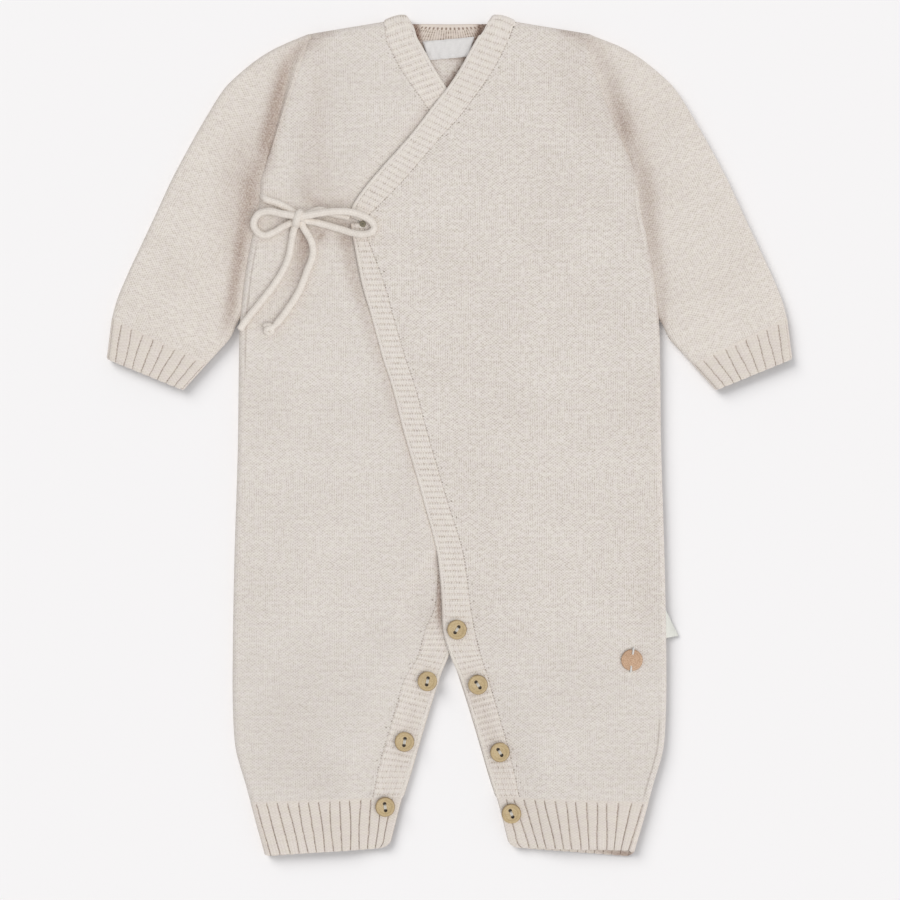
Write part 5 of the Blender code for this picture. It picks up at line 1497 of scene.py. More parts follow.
def sleeve(name, finish, hand):
    steps = SLEEVE_FINE
    near = smooth([tuple(p) for p in SLEEVE_OUTER], steps)
    far = smooth([tuple(p) for p in SLEEVE_INNER], steps)
    down_armhole = (far[0] - near[0]) / np.linalg.norm(far[0] - near[0])
    inward = np.array((down_armhole[1], -down_armhole[0])) * (1 if down_armhole[1] < 0 else -1)
    under_body = ARMHOLE_TUCK * inward
    pressed = SLEEVE_LEANS_IN * ease((PRESSED_TO - np.array(steps)) / PRESSED_FADE)
    far = far - np.column_stack([pressed, 0 * pressed])
    near, far = np.vstack([near[0] + under_body, near]), np.vstack([far[0] + under_body, far])
    steps = (0.0, *steps)
    valley = SLEEVE_VALLEYS[hand]
    along, across = np.array(SLEEVE_WALES), np.array((-SLEEVE_WALES[1], SLEEVE_WALES[0]))
    outer, inner, knit, seam, side = [], [], [], [], []
    down = 0.0
    middle_before = None
    for ring, (share, a, b) in enumerate(zip(steps, near, far)):
        down_under = TUCK_DROP if ring == 0 else 0.0
        off = (share - valley.at) / (valley.width if share > valley.at else 0.6 * valley.width)
        dip = valley.depth * math.exp(-off * off)
        beside_body = 1 - float(ease((share - BESIDE_BODY) / LEAVES_BODY))
        edge_in = mix(SLEEVE_EDGE, SLEEVE_EDGE_IN, beside_body)
        o, i, around, part, _ = tube_walls(
            a, b, SLEEVE_EDGE - down_under, edge_in - down_under,
            lambda t: (SLEEVE_CROWN - dip) * crown(t),
            SLEEVE_COUNTS,
        )
        top = part == 2
        inside = np.clip(np.minimum(around - around[top][0], around[top][-1] - around) / 10, 0, 1) * top
        sink = (trough(o[:, 0], o[:, 1], SLEEVE_FOLDS) - ripple(hand * o[:, 0], o[:, 1])) * ease(inside)
        o[:, 2] -= sink
        i[:, 2] -= sink * 0.8
        bow = armhole_bow(hand, o[:, 1]) * float(ease(1 - share / 0.09))
        o[:, 0] -= bow
        i[:, 0] -= bow
        u, v = o[:, :2] @ across, o[:, :2] @ along
        far_arc, near_arc = part == 1, part == 3
        u[near_arc] = u[top][-1] + (around[near_arc] - around[near_arc][0]) * np.sign(u[top][-1] - u[top][0])
        u[far_arc] = u[top][0] + (around[top][0] - around[far_arc]) * np.sign(u[top][0] - u[top][-1])
        middle = (a + b) / 2
        down += 0.0 if middle_before is None else float(np.linalg.norm(middle - middle_before))
        middle_before = middle
        outer.append(o * (hand, 1, 1))
        inner.append(i * (hand, 1, 1))
        knit.append(np.column_stack([u * hand, -v]))
        seam.append(np.column_stack([around, np.full_like(u, down)]))
        side.append(np.column_stack([0 * u, np.full_like(u, 60.0)]))
    maps = {"knit": np.array(knit), "seam": np.array(seam), "side": np.array(side)}
    return knit_wall(name, finish, "sleeve_knit", np.array(outer), np.array(inner), maps, hollows=SIDE_PAINTED_SHADE)


def cuff(name, finish, hand):
    outer, inner, knit = [], [], []
    top, end = np.array(CUFF_TOP), np.array(CUFF_END)
    top = np.array([SLEEVE_OUTER[-1], SLEEVE_INNER[-1]]) + 0.02 * (top - end)
    reach = float(np.linalg.norm((top - end).mean(axis=0)))
    for share in np.linspace(0, 1, CUFF_ROWS):
        a, b = mix(top, end, share)
        starts = float(ease((share * reach - RIB_STARTS) / RIB_START_REACH))
        edge = mix(SLEEVE_EDGE, CUFF_EDGE, ease(share / 0.3))
        o, i, around, part, along_part = tube_walls(
            a, b, edge, edge, lambda t: (1 - starts) * SLEEVE_CROWN * crown(t),
            CUFF_COUNTS, CUFF_RIBS, starts, RIB_SWAY * math.sin(4.2 * share + hand),
        )
        rim = float(soft_edge(np.array((1 - share) * reach)))
        o = mix(o, i, rim / CLOTH)
        wave = rib_count(CUFF_RIBS, part, along_part)
        scallop = SCALLOP * np.abs(np.sin(np.pi * wave)) * ease((share - 0.8) / 0.2)
        o[:, :2] += ((end - top).mean(axis=0) / reach) * scallop[:, None]
        outer.append(o * (hand, 1, 1))
        inner.append(i * (hand, 1, 1))
        knit.append(np.column_stack([wave, np.full_like(around, share * reach)]))
    return knit_wall(name, finish, "rib_knit", np.array(outer), np.array(inner), {"knit": np.array(knit)})


def ankle_low(x):
    """Height of the underside of an ankle's front."""
    return mix(LEG_BAND_LOW, EDGE_LOW, ease((np.abs(x) - ANKLE_BEND_FROM) / ANKLE_BEND_REACH))


def ankle(name, finish, hand):
    """A ribbed ankle: front and back in one, folded at the outside and open at the inside."""
    outer, inner, knit = [], [], []
    reach = (ANKLE_TOP_OUT - ANKLE_END_OUT + ANKLE_TOP_IN - ANKLE_END_IN) / 2
    shares = np.concatenate([np.linspace(0, 0.84, ANKLE_ROWS), ANKLE_RIM_ROWS])
    for share in shares:
        y_out = mix(ANKLE_TOP_OUT, ANKLE_END_OUT, share)
        y_in = mix(ANKLE_TOP_IN, ANKLE_END_IN, share)
        half = float(half_width(np.array(y_out)))
        x_in = mix(ANKLE_IN_TOP, ANKLE_IN_END, share)
        short = FRONT_ANKLE_SHORT[hand] * share
        corner = float(soft_edge(np.array((1 - share) * reach), ANKLE_CORNER))
        wander = RIB_SWAY * math.sin(4.5 * share + hand)
        rim = float(soft_edge(np.array((1 - share) * reach)))
        starts = float(ease((share * reach - RIB_STARTS) / RIB_START_REACH))
        front = np.array([k + p for k in range(ANKLE_RIBS) for p in RIB_PLACES] + [ANKLE_RIBS]) / ANKLE_RIBS
        side = np.linspace(0, 1, 13)[1:]
        behind = front[::-1]
        x = mix(x_in, half - ROLL, front)
        x = x + corner * ease(1 - (x - x_in) / CORNER_REACH)
        held = ease(front / 0.2) * ease((1 - front) / 0.2)
        x = x + (wander * np.sin(2.1 * front * ANKLE_RIBS) + mix(*RIB_LEAN[hand], share)) * held
        y = mix(y_in, y_out + short, front)
        low = mix(front_low(hand)(x, y), ankle_low(x), ease(share / 0.5))
        inside = x - x[0]
        rise = starts * rib_height(front * ANKLE_RIBS, END_RIB) - soft_edge(inside)
        o = [np.column_stack([x, y, low + CLOTH + rise - rim])]
        i = [np.column_stack([x, y, low])]
        a = np.radians(mix(90, -90, side))
        turn = mix(y_out + short, y_out, side)
        bump = rib_height(side * 2, END_RIB)
        bump = starts * mix(bump, bump - RIB_RISE, ease((side - 0.3) / 0.5))
        for part, radius in ((o, ROLL + bump - rim), (i, ROLL - CLOTH + 0 * bump)):
            part.append(np.column_stack([half - ROLL + radius * np.cos(a), turn, ROLL + radius * np.sin(a)]))
        x = mix(x_in, half - ROLL, behind)
        x = x + corner * ease(1 - (x - x_in) / CORNER_REACH)
        y = mix(y_in, y_out, behind)
        under = RIB_RISE - rib_height(behind * ANKLE_RIBS, END_RIB) + soft_edge(x - x[-1])
        o.append(np.column_stack([x, y, under + rim]))
        i.append(np.column_stack([x, y, np.full_like(x, CLOTH)]))
        counted = [front * ANKLE_RIBS, ANKLE_RIBS + side * 2, ANKLE_RIBS + 2 + (1 - behind) * ANKLE_RIBS]
        counted = np.concatenate(counted)
        o, i = np.concatenate(o), np.concatenate(i)
        scallop = SCALLOP * np.abs(np.sin(np.pi * counted)) * ease((share - 0.85) / 0.15)
        o[:, 1] -= scallop
        i[:, 1] -= scallop
        outer.append(o * (hand, 1, 1))
        inner.append(i * (hand, 1, 1))
        knit.append(np.column_stack([counted, np.full_like(counted, share * reach)]))
    return knit_wall(name, finish, "rib_knit", np.array(outer), np.array(inner), {"knit": np.array(knit)},
                     hollows=ANKLE_PAINTED_SHADE)


# Ties


def cord_tube(name, finish, spots, radius=CORD_DIAMETER / 2):
    """A knitted cord along its spots, with rounded ends, and the path that it follows in metres."""
    length = curve_length(spots)
    count = max(6, round(length / CORD_STEP) + 1)
    path = smooth(spots, np.linspace(0, 1, count))
    ahead = np.gradient(path, axis=0)
    ahead /= np.linalg.norm(ahead, axis=1)[:, None]
    rings, flat = [], []
    side = np.cross(ahead[0], (0, 0, 1.0))
    places = [(k, 0.0, 1.0) for k in range(count)]
    places = [(0, -s, c) for c, s in reversed(TIPS)] + places + [(count - 1, s, c) for c, s in TIPS]
    turns = np.linspace(0, 2 * math.pi, CORD_SIDES + 1)
    for k, beyond, narrow in places:
        side = side - ahead[k] * side.dot(ahead[k])
        side /= np.linalg.norm(side)
        up = np.cross(side, ahead[k])
        ring = path[k] + ahead[k] * beyond * radius * 0.6
        wobble = 1 + 0.03 * np.sin(3 * turns + 0.9 * k)
        spread = radius * narrow * wobble[:, None]
        rings.append(ring + spread * (np.cos(turns)[:, None] * side + np.sin(turns)[:, None] * up))
        flat.append(np.column_stack([turns * radius, np.full_like(turns, k * length / (count - 1) + beyond)]))
    bm, _ = laid_grid(np.array(rings), {"knit": np.array(flat)})
    bmesh.ops.recalc_face_normals(bm, faces=bm.faces[:])
    return finished(name, bm, finish, "knitted_cord"), [tuple(p * MM) for p in path]


def settled(spots):
    """The cord's own weight brings it down to the cloth."""
    return [Spot(s.x, s.y, s.z - CORD_SETTLE) for s in spots]


def ties(finish):
    knot, _ = cord_tube("bow_knot", finish, settled(KNOT_WRAP), KNOT_RADIUS)
    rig.replaces(knot, "tie_knot")
    end, _ = cord_tube("end_knot", finish, settled(END_WRAP), END_KNOT_RADIUS)
    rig.replaces(end, "tie_end_knot")
    left = settled((*LEAD_ROOT[::-1], *LEFT_LEAD[:0:-1], *LEFT_TURNS, *LEFT_LOOP[1:-1], *LEFT_DOWN, *LEFT_TAIL[1:]))
    right = settled((*RIGHT_LEAD[:0:-1], *RIGHT_TURNS, *RIGHT_LOOP[1:-1], *RIGHT_DOWN, *RIGHT_TAIL[1:]))
    for name, spots, far_end, riders in (("left", left, "bare", ()), ("right", right, "knot", (knot, end))):
        piece, path = cord_tube(f"tie_{name}", finish, spots)
        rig.replaces(piece, *(f"tie_{name}_{part}" for part in ("lead", "loop", "tail")))
        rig.cord(
            piece, exit=path[0], length=curve_length(spots) * MM, diameter=CORD_DIAMETER * MM,
            far_end=far_end, stiffness="limp", lay="loose", path=path, with_pieces=list(riders),
        )


def eyelet(finish):
    """The worked hole in the over front's corner, where the right tie comes out: a ring of dark thread, which also
    stands in for the shade in the hole.
    """
    turns = np.linspace(0, 2 * math.pi, 13)
    z = float(over_low(TIE_EYELET.x, TIE_EYELET.y)) + CLOTH + 0.1
    at = TIE_EYELET
    ring = [Spot(at.x + EYELET_ACROSS * math.cos(a), at.y + EYELET_TALL * math.sin(a), z) for a in turns]
    cord_tube("tie_eyelet", finish, ring, EYELET_ROUND)


# Buttons and labels


def turned(profile, sides):
    """A bmesh of revolution about z from (radius, height) pairs that start and end on the axis."""
    bm = bmesh.new()
    verts = [bm.verts.new(Vector((r, 0, z)) * MM) for r, z in profile]
    edges = [bm.edges.new(pair) for pair in zip(verts[:-1], verts[1:])]
    bmesh.ops.spin(
        bm, geom=verts + edges, cent=(0, 0, 0), axis=(0, 0, 1), angle=2 * math.pi,
        steps=sides, use_merge=True,
    )
    bmesh.ops.remove_doubles(bm, verts=bm.verts[:], dist=0.000001)
    bmesh.ops.recalc_face_normals(bm, faces=bm.faces[:])
    return bm


def carved(blank, cutters):
    """The blank's mesh less the cutters, which are removed."""
    for cutter in cutters:
        cut = blank.modifiers.new("cut", "BOOLEAN")
        cut.operation = "DIFFERENCE"
        cut.object = cutter
    bpy.context.view_layer.update()
    graph = bpy.context.evaluated_depsgraph_get()
    mesh = bpy.data.meshes.new_from_object(blank.evaluated_get(graph))
    for gone in (blank, *cutters):
        bpy.data.objects.remove(gone, do_unlink=True)
    return mesh


def rod(name, x, y, radius, low=-4.0):
    bm = bmesh.new()
    bmesh.ops.create_cone(
        bm, cap_ends=True, segments=20, radius1=radius * MM, radius2=radius * MM, depth=ROD_LENGTH * MM,
        matrix=Matrix.Translation((x * MM, y * MM, (low + ROD_LENGTH / 2) * MM)),
    )
    return linked(name, mesh_of(name, bm))


def turned_wood(name, profile, sides, cutters, wood):
    """A turned mesh. Its map, which the wood reads, keeps each point's place on the face."""
    mesh = carved(linked(name, mesh_of(name, turned(profile, sides))), cutters)
    layer = mesh.uv_layers.new(name="face")
    for loop in mesh.loops:
        at = mesh.vertices[loop.vertex_index].co
        layer.data[loop.index].uv = (at.x / MM, at.y / MM)
    mesh.materials.append(wood)
    return mesh


def set_down(mesh, name, slot, node, place):
    mesh.name = name
    mesh.transform(place)
    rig.replaces(hand_on(name, mesh, slot), node)


def band_top(x, y):
    """Height of the ribs under a button."""
    if y < ANKLE_TOP_IN:
        low = ankle_low(x)
    else:
        low = over_low(x, y) if x > over_free(y) else under_low(x, y)
    return float(low) + CLOTH + RIB_RISE


def around(radius):
    turns = np.linspace(0, 2 * math.pi, 8, endpoint=False)
    return [(radius * math.cos(a), radius * math.sin(a)) for a in turns]


def buttons(wood, thread):
    holes = [rod("hole", x, 0, HOLE_RADIUS, HOLE_FLOOR) for x in (-HOLE_AT, HOLE_AT)]
    mesh = turned_wood("button_blank", BUTTON_PROFILE, BUTTON_SIDES, holes, wood)
    for b in BUTTONS:
        reach = [band_top(b.x + dx, b.y + dy) for dx, dy in around(BUTTON_RADIUS)]
        place = Matrix.Translation(Vector((b.x, b.y, max(reach) + SEAM)) * MM)
        place = place @ Matrix.Rotation(math.radians(90 - b.turn), 4, "Z")
        set_down(mesh.copy(), b.name + "_wood", "button_wood", b.name, place)
        for k, (lift, sway) in enumerate(THREAD_RUNS):
            run = [Vector((x, y + sway, z + lift)) for x, y, z in BUTTON_STITCH]
            spots = [Spot(*((place @ (p * MM)) / MM)) for p in run]
            cord_tube(f"{b.name}_thread_{k}", thread, spots, THREAD_RADIUS)


def disc(wood, thread):
    z = max(float(over_low(DISC.x + dx, DISC.y + dy)) for dx, dy in around(DISC_RADIUS)) + CLOTH + SEAM
    notches = [rod("notch", x, y, NOTCH_RADIUS) for x, y in DISC_NOTCHES]
    mesh = turned_wood("disc_blank", DISC_PROFILE, DISC_SIDES, notches, wood)
    place = Matrix.Translation(Vector((DISC.x, DISC.y, z)) * MM)
    set_down(mesh, "trim_disc_wood", "disc_wood", "trim_disc", place)
    for k, (x, y) in enumerate(DISC_NOTCHES):
        out = Vector((x, y, 0)).normalized()
        spots = []
        for reach, up in DISC_STITCH:
            spots.append(Spot(*(Vector((DISC.x, DISC.y, z + up)) + out * reach * DISC_RADIUS)))
        cord_tube(f"disc_thread_{k}", thread, spots, DISC_THREAD_RADIUS)


def blank_label(name, finish, slot, corners, lows, thick, bends, counts=(40, 16)):
    """A woven label between four corners (left, right, right, left), with soft bends in it."""
    u, v = np.meshgrid(np.linspace(0, 1, counts[0]), np.linspace(0, 1, counts[1]))
    spots = np.array([(*p, z) for p, z in zip(corners, lows)], float)
    top, end = mix(spots[0], spots[1], u[..., None]), mix(spots[3], spots[2], u[..., None])
    flat = mix(top, end, v[..., None])
    wide = float(np.linalg.norm(spots[1] - spots[0]))
    tall = float(np.linalg.norm(spots[3] - spots[0]))
    lift = sum(h * np.sin(2 * math.pi * (u * a + v * b) + c) for h, a, b, c in bends)
    edge = np.minimum(np.minimum(u, 1 - u) * wide, np.minimum(v, 1 - v) * tall)
    rim = thick * 0.5 * (1 - np.sqrt(1 - np.clip(1 - edge / (0.5 * thick), 0, 1) ** 2))
    up = np.array((0, 0, 1.0))
    outer = flat + up * (thick - rim + np.abs(lift))[..., None]
    inner = flat + up * (rim * 0.8)[..., None]
    knit = np.stack([u * wide, v * tall], axis=2)
    return knit_wall(name, finish, slot, outer, inner, {"knit": knit})


# Finishes


def shaken(vector, noise_at, scale, detail, amount):
    """The map moved a little from place to place, as real stitches are uneven."""
    noise = new_node("TexNoise", vector)
    feed_all(noise, ("Vector", "Scale", "Detail"), (noise_at, scale, detail))
    move = new_node("VectorMath", vector)
    move.operation = "MULTIPLY_ADD"
    feed_all(move, range(3), (Wire(noise.outputs["Color"]), amount, vector))
    return Wire(move.outputs[0])


def with_painted_shade(tree, colour):
    """The colour under painted shade: darker along the shade's lines, mottled by noise, and darker again in the
    darkest corners.
    """
    depth, _, _ = split(flat_map(tree, "hollow"))
    mottle = grainy(stretch(flat_map(tree, "knit"), (0.9, 1.1, 1), (6, 2, 0)), 1.0, 1.0)
    depth = depth * slope(mottle, 0.3, 0.7, 0.7, 1.3)
    for less in (0.0, 1.0):
        colour = blend("MULTIPLY", calc("SUBTRACT", depth, less, clamp=True), colour, PAINTED_SHADE_TINT)
    return colour


def fuzzy_finish(name, roughness, sheen, sheen_roughness):
    """A finish with the sheen of a yarn's loose fibres."""
    made, shader, tree = new_finish(name, roughness)
    shader.inputs["Sheen Weight"].default_value = sheen
    shader.inputs["Sheen Roughness"].default_value = sheen_roughness
    shader.inputs["Specular IOR Level"].default_value = 0.25
    return made, shader, tree


def heathered(yarn, tones):
    """The colours of the yarn's fibres, mixed along it."""
    pale, deep, pink, straw = tones
    colour = blend("MIX", slope(yarn["Tone"], 0.36, 0.64), deep, pale)
    tint = blend("MIX", slope(yarn["Warmth"], 0.4, 0.6), pink, straw)
    return blend("MIX", 0.45, colour, tint)


def raise_knit(shader, uv, height):
    """Bumps the surface by its stitches and by the fuzz on them."""
    fuzz = grainy(stretch(uv, (3.1, 3.1, 1)), 1.0, 2.0, 0.7)
    raise_by(shader, height + fuzz * FUZZ_RISE)


def knit_finish(name, plain, heather, marks, tones, gap_shade):
    made, shader, tree = fuzzy_finish(name, *KNIT_SURFACE)
    uv = flat_map(tree, "knit")
    moved = shaken(uv, uv, 0.55, 1.0, (0.9, 0.9, 0))
    moved = shaken(moved, stretch(uv, (0.09, 0.09, 1)), 1.0, 2.0, (1.1, 1.4, 0))
    knit = placed(tree, plain, Map=moved, Wale=WALE, Course=COURSE, Lean=0.5)
    yarn = placed(tree, heather, Map=uv)
    colour = heathered(yarn, tones)
    uneven = slope(grainy(stretch(uv, (0.42, 0.55, 1), (4, 1, 0)), 1.0, 1.0), 0.3, 0.7, 0.3, 1.7)
    _, up, _ = split(uv)
    calm = slope(up, -150.0, -70.0, 0.78, 1.0)  # less painted shade in the stitch gaps down the legs, where the colour is made darker instead
    gap = knit["Gap"] * uneven * calm
    colour = blend("MULTIPLY", 1.0 - calm, colour, (LEG_SHADE,) * 3)
    # painted shade in the gaps between stitches
    colour = blend("MULTIPLY", calc("MULTIPLY", gap, gap_shade, clamp=True), colour, GAP_SHADE_TINT)
    seam = placed(tree, marks, Map=flat_map(tree, "seam"), **SEAM_HOLES)
    fashioned = placed(tree, marks, Map=flat_map(tree, "seam"), **FASHIONED)
    holes = calc("MAXIMUM", seam["Mask"] * 0.5, fashioned["Mask"] * 0.42)
    holes = calc("MULTIPLY", holes, uneven, clamp=True)
    seen, beside, _ = split(flat_map(tree, "side"))
    line = slope(abs(beside - SIDE_LINE_AT), 0.15, 0.7, 1.0, 0.0)
    holes = calc("MAXIMUM", holes, line * seen * 0.45)
    colour = blend("MULTIPLY", holes * 0.6, colour, HOLE_TINT)
    feed(shader.inputs["Base Color"], with_painted_shade(tree, colour))
    raise_knit(shader, uv, knit["Height"] * STITCH_RISE - holes * 0.35)
    return made


def rib_finish(name, plain, heather, marks, tones, pitch, narrow, bead, inside=False):
    """Rib knit: the ribs are in the mesh; their stitches run down each of them.

    narrow is how much of half a rib is left beside its groove; bead is for a band with a free edge,
    and inside for one that shows its inner side across the back of the neck.
    """
    made, shader, tree = fuzzy_finish(name, *KNIT_SURFACE)
    uv = flat_map(tree, "knit")
    along, away, _ = split(uv)
    knit = placed(tree, plain, Map=uv, Wale=pitch if bead else 0.5, Course=1.5, Lean=0.55)
    yarn = placed(tree, heather, Map=stretch(uv, (1.0 if bead else 5.0, 1, 1)))
    colour = heathered(yarn, tones)
    course = away / VEE_LENGTH
    zigzag = abs(calc("FRACT", course) - 0.5)
    wander = grainy(stretch(uv, (0.5 / pitch, 0.35, 1), (2, 6, 0)), 1.0, 2.0, 0.6)
    sway = zigzag * (0.36 if bead else 0.07) + (wander - 0.5) * (0.30 if bead else 0.20)
    place = calc("FRACT", along / pitch + sway)
    off = abs(place - 0.5)
    groove = slope(off, narrow, 0.49)
    patchy = grainy(stretch(uv, (0.9 / pitch, 0.8, 1), (8, 1, 0)), 1.0, 1.0)
    broken = slope(patchy, 0.3, 0.62, 1.0, 0.3 if bead else 0.55)
    groove = groove * broken
    if bead:
        groove = groove * slope(away, EDGE_BEAD - 0.4, EDGE_BEAD + 0.6)
        lean = course - off * 1.1
        vee = slope(calc("COSINE", lean * (2 * math.pi)), -0.2, 0.9)
        vee = vee * (slope(off, 0.02, 0.2) * slope(patchy, 0.25, 0.6, 1.3, 0.6))
    else:
        ragged = grainy(stretch(uv, (1.7, 0.05, 1), (3, 5, 0)), 1.0, 1.0) * 2.6
        begins = away + ragged - 1.3
        groove = groove * slope(begins, RIB_STARTS, RIB_STARTS + RIB_START_REACH)
        vee = knit["Gap"]
    if inside:
        shown, _, _ = split(flat_map(tree, "inside"))
        colour = blend("MULTIPLY", shown, colour, INSIDE_YARN)
        outside = 1.0 - shown
        groove, vee = (part * outside for part in (groove, vee))
        loops = slope(calc("COSINE", along * (2 * math.pi / CHAIN_PITCH)), -0.2, 0.7)
        dots = slope(abs(away - CHAIN_HIGH), 0.4, 1.0, 1.0, 0.0)
        fine = slope(calc("COSINE", along * (2 * math.pi / FINE_PITCH)), -0.4, 0.8, 0.15, 1.0)
        below = slope(away, CHAIN_HIGH + 0.5, CHAIN_HIGH + 1.1)
        rim = slope(away, 0.15, 0.45, 0.45, 0.0)
        row = calc("MAXIMUM", loops * dots, rim)
        row = calc("MAXIMUM", row, fine * below * broken)
        colour = blend("MULTIPLY", row * (shown * 0.85), colour, INSIDE_TINT)
    # painted shade in the gaps of the bands' stitches
    colour = blend("MULTIPLY", calc("MULTIPLY", vee, VEE_SHADE, clamp=True), colour, GAP_SHADE_TINT)
    # painted shade in the rib grooves
    depth, tint = (RIB_SHADE, GROOVE_SHADE_TINT) if bead else (END_SHADE, END_GROOVE_SHADE_TINT)
    colour = blend("MULTIPLY", groove * depth, colour, tint)
    holes = groove
    if bead:
        edge = placed(tree, marks, Map=uv, **BEAD_HOLES)
        holes = edge["Mask"] * 0.28 * broken
        colour = blend("MULTIPLY", holes, colour, HOLE_TINT)
        holes = holes + vee * 0.4
    feed(shader.inputs["Base Color"], with_painted_shade(tree, colour))
    raise_knit(shader, uv, knit["Height"] * (STITCH_RISE * (0.8 if bead else 0.5)) - holes * 0.3)
    return made


def cord_finish(name, plain, heather):
    made, shader, tree = fuzzy_finish(name, *CORD_SURFACE)
    uv = flat_map(tree, "knit")
    knit = placed(tree, plain, Map=uv, Wale=2.3, Course=1.6, Lean=0.7)
    yarn = placed(tree, heather, Map=uv)
    colour = blend("MIX", slope(yarn["Tone"], 0.35, 0.65), CORD_TONES[0], CORD_TONES[1])
    # painted shade in the gaps between the cord's stitches
    colour = blend("MULTIPLY", knit["Gap"] * 0.14, colour, GAP_SHADE_TINT)
    feed(shader.inputs["Base Color"], colour)
    raise_by(shader, knit["Height"] * 0.16)
    return made


def plain_thread(name, colour):
    made, shader, tree = new_finish(name, 0.8)
    uv = flat_map(tree, "knit")
    across, down, _ = split(uv)
    twist = calc("FRACT", across * 0.9 + down * 1.4)
    ply = abs(twist - 0.5)
    dark = tuple(c * 0.72 for c in colour)
    feed(shader.inputs["Base Color"], blend("MIX", ply * 2.0, dark, colour))
    raise_by(shader, ply * -0.12)
    return made


def wood_finish(name, tones, rough, rim, holed=False):
    """Turned wood: a fine speckle of pores, faint rings, and an edge that is darker in patches."""
    made, shader, tree = new_finish(name, rough)
    place = Wire(tree.nodes.new("ShaderNodeTexCoord").outputs["Object"])
    face = flat_map(tree, "face")
    from_middle = new_node("VectorMath", face)
    from_middle.operation = "LENGTH"
    feed(from_middle.inputs[0], face)
    reach = Wire(from_middle.outputs["Value"])
    speckle = grainy(stretch(place, (1500, 1500, 1500)), 1.0, 3.0, 0.75)
    broad = grainy(stretch(place, (190, 310, 200)), 1.0, 2.0, 0.5)
    rings = calc("COSINE", reach * 5.6 + broad * 7.0)
    pores = slope(grainy(stretch(place, (2600, 2600, 2600)), 1.0, 1.0, 0.5), 0.6, 0.7)
    pale, mid, dark = tones
    tone = speckle + rings * 0.05
    colour = blend("MIX", slope(tone, 0.36, 0.64), mid, pale)
    colour = blend("MIX", slope(broad, 0.5, 0.75) * 0.25, colour, dark)
    colour = blend("MIX", pores * 0.4, colour, dark)
    # the edge darker in patches
    dark_rim = grainy(stretch(place, (95, 95, 95), (3, 1, 0)), 1.0, 1.0, 0.5)
    dark_rim = slope(reach, rim - 0.9, rim) * slope(dark_rim, 0.36, 0.54)
    colour = blend("MULTIPLY", dark_rim * 0.95, colour, RIM_DARK)
    # painted shade in the button's holes
    if holed:
        across, up, _ = split(face)
        across = abs(across) - HOLE_AT
        near = calc("SQRT", across * across + up * up)
        colour = blend("MULTIPLY", slope(near, HOLE_RADIUS, 1.3 * HOLE_RADIUS, 1.0, 0.0), colour, HOLE_SHADE)
    feed(shader.inputs["Base Color"], colour)
    feed(shader.inputs["Roughness"], slope(speckle, 0.3, 0.7, rough + 0.08, rough - 0.06))
    raise_by(shader, speckle * 0.05)
    return made


def woven_finish(name, colour, sheen, weave):
    """Fine woven satin or tape with its warp and weft."""
    made, shader, tree = new_finish(name, 0.55)
    shader.inputs["Sheen Weight"].default_value = sheen
    uv = flat_map(tree, "knit")
    across, up, _ = split(uv)
    warp = calc("SINE", across * (2 * math.pi / weave))
    weft = calc("SINE", up * (2 * math.pi / (weave * 0.7)))
    cross = warp * weft
    slub = grainy(stretch(uv, (0.5, 3.5, 1)), 1.0, 3.0, 0.6)
    dark = tuple(c * 0.82 for c in colour)
    tone = calc("ADD", cross * 0.2, slub, clamp=True)
    feed(shader.inputs["Base Color"], blend("MIX", tone, dark, colour))
    raise_by(shader, cross * 0.04)
    return made


def show(node, piece):
    """The piece stands for a CAD node; its cut is the flat cloth that shows, all round on a tube."""
    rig.replaces(piece, node)
    cut = CUTS[node.replace("_left", "").replace("_right", "")]
    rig.sheet(
        piece, flat=(cut.wide * MM, cut.long * MM), held="laid", rests_on=list(cut.rests_on),
        area=cut.area * MM * MM,
    )
    return piece


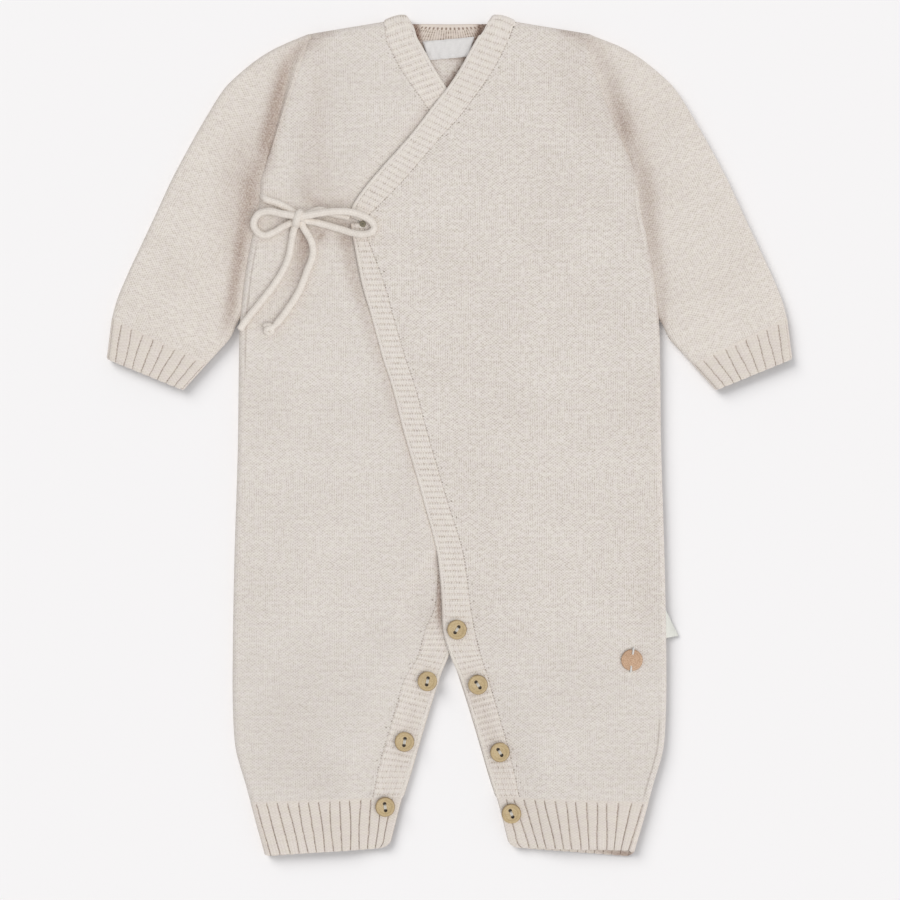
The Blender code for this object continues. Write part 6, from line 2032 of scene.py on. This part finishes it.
def main():
    look_down()
    light_up()
    floor = lay_surface()
    shine("floor_light", *FLOOR_LIGHT, floor, True)
    shine("cloth_light", *CLOTH_LIGHT, floor, False)
    plain, heather, marks = stitches_group(), heather_group(), marks_group()
    cord = cord_finish("knitted_cord", plain, heather)
    ties(cord)
    body, under, arms = (
        knit_finish(name, plain, heather, marks, tones, GAP_SHADES[kind])
        for name, tones, kind in (
            ("body_knit", BODY_TONES, "over"),
            ("under_front_knit", [tuple(c * UNDER_SHADE for c in tone) for tone in BODY_TONES], "under"),
            ("sleeve_knit", SLEEVE_TONES, "sleeve"),
        )
    )
    band = rib_finish("band_rib", plain, heather, marks, RIB_TONES, WRAP_PITCH, 0.34, True)
    neck = rib_finish("neck_rib", plain, heather, marks, RIB_TONES, NECK_PITCH, 0.36, True, True)
    ends = rib_finish("end_rib", plain, heather, marks, END_TONES, 1.0, 0.43, False)
    wood = wood_finish("button_wood", BUTTON_TONES, 0.42, BUTTON_RADIUS, True)
    disc_wood = wood_finish("disc_wood", DISC_TONES, 0.5, DISC_RADIUS + 0.4)
    thread = plain_thread("button_thread", THREAD)
    white = plain_thread("disc_thread", WHITE_THREAD)
    woven = woven_finish("woven_label", LABEL, 0.3, 0.5)
    tape = woven_finish("side_tag_tape", TAG, 0.1, 0.6)

    show("back", back_panel(body))
    show("back_leg_band", back_leg_band(band))
    show("front_over", front_panel("front_over_knit", body, 1, over_sewn_low))
    show("front_under", front_panel("front_under_knit", under, -1, under_sewn_low))
    show("neck_band", neck_band(neck))
    show("over_wrap_band", wrap_band("over_wrap_band_knit", band, 1, WRAP_EDGE + OVER_LEG, 0))
    hidden = curve_length([(r.free, r.y) for r in WRAP_EDGE]) - UNDER_RIBS_SHOW
    show("under_wrap_band", wrap_band("under_wrap_band_knit", band, -1, UNDER_EDGE + UNDER_LEG, hidden))
    for side, hand in (("left", -1), ("right", 1)):
        show(f"sleeve_{side}", sleeve(f"sleeve_{side}_knit", arms, hand))
        show(f"cuff_{side}", cuff(f"cuff_{side}_knit", ends, hand))
        show(f"ankle_{side}", ankle(f"ankle_{side}_knit", ends, hand))
    buttons(wood, thread)
    disc(disc_wood, white)
    eyelet(plain_thread("eyelet_thread", EYELET_THREAD_AND_SHADE))
    show("neck_label", blank_label("neck_label_blank", woven, "woven_label", LABEL_CORNERS, [FACING_BACK] * 4,
                                   NECK_LABEL_THICK, LABEL_BENDS))
    tag = (TAG_CORNERS[0], TAG_CORNERS[1], TAG_CORNERS[1], TAG_CORNERS[2])
    lows = (TAG_ROOT, TAG_TIP, TAG_TIP, TAG_ROOT)
    show("side_tag", blank_label("side_tag_blank", tape, "side_tag_tape", tag, lows,
                                 SIDE_TAG_THICK, TAG_BENDS, (14, 14)))


main()

with open("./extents.json", "w") as out:
    json.dump({"solids": [list(p) for p in solid_box], "dressed": [list(p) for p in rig.bounds()]}, out)
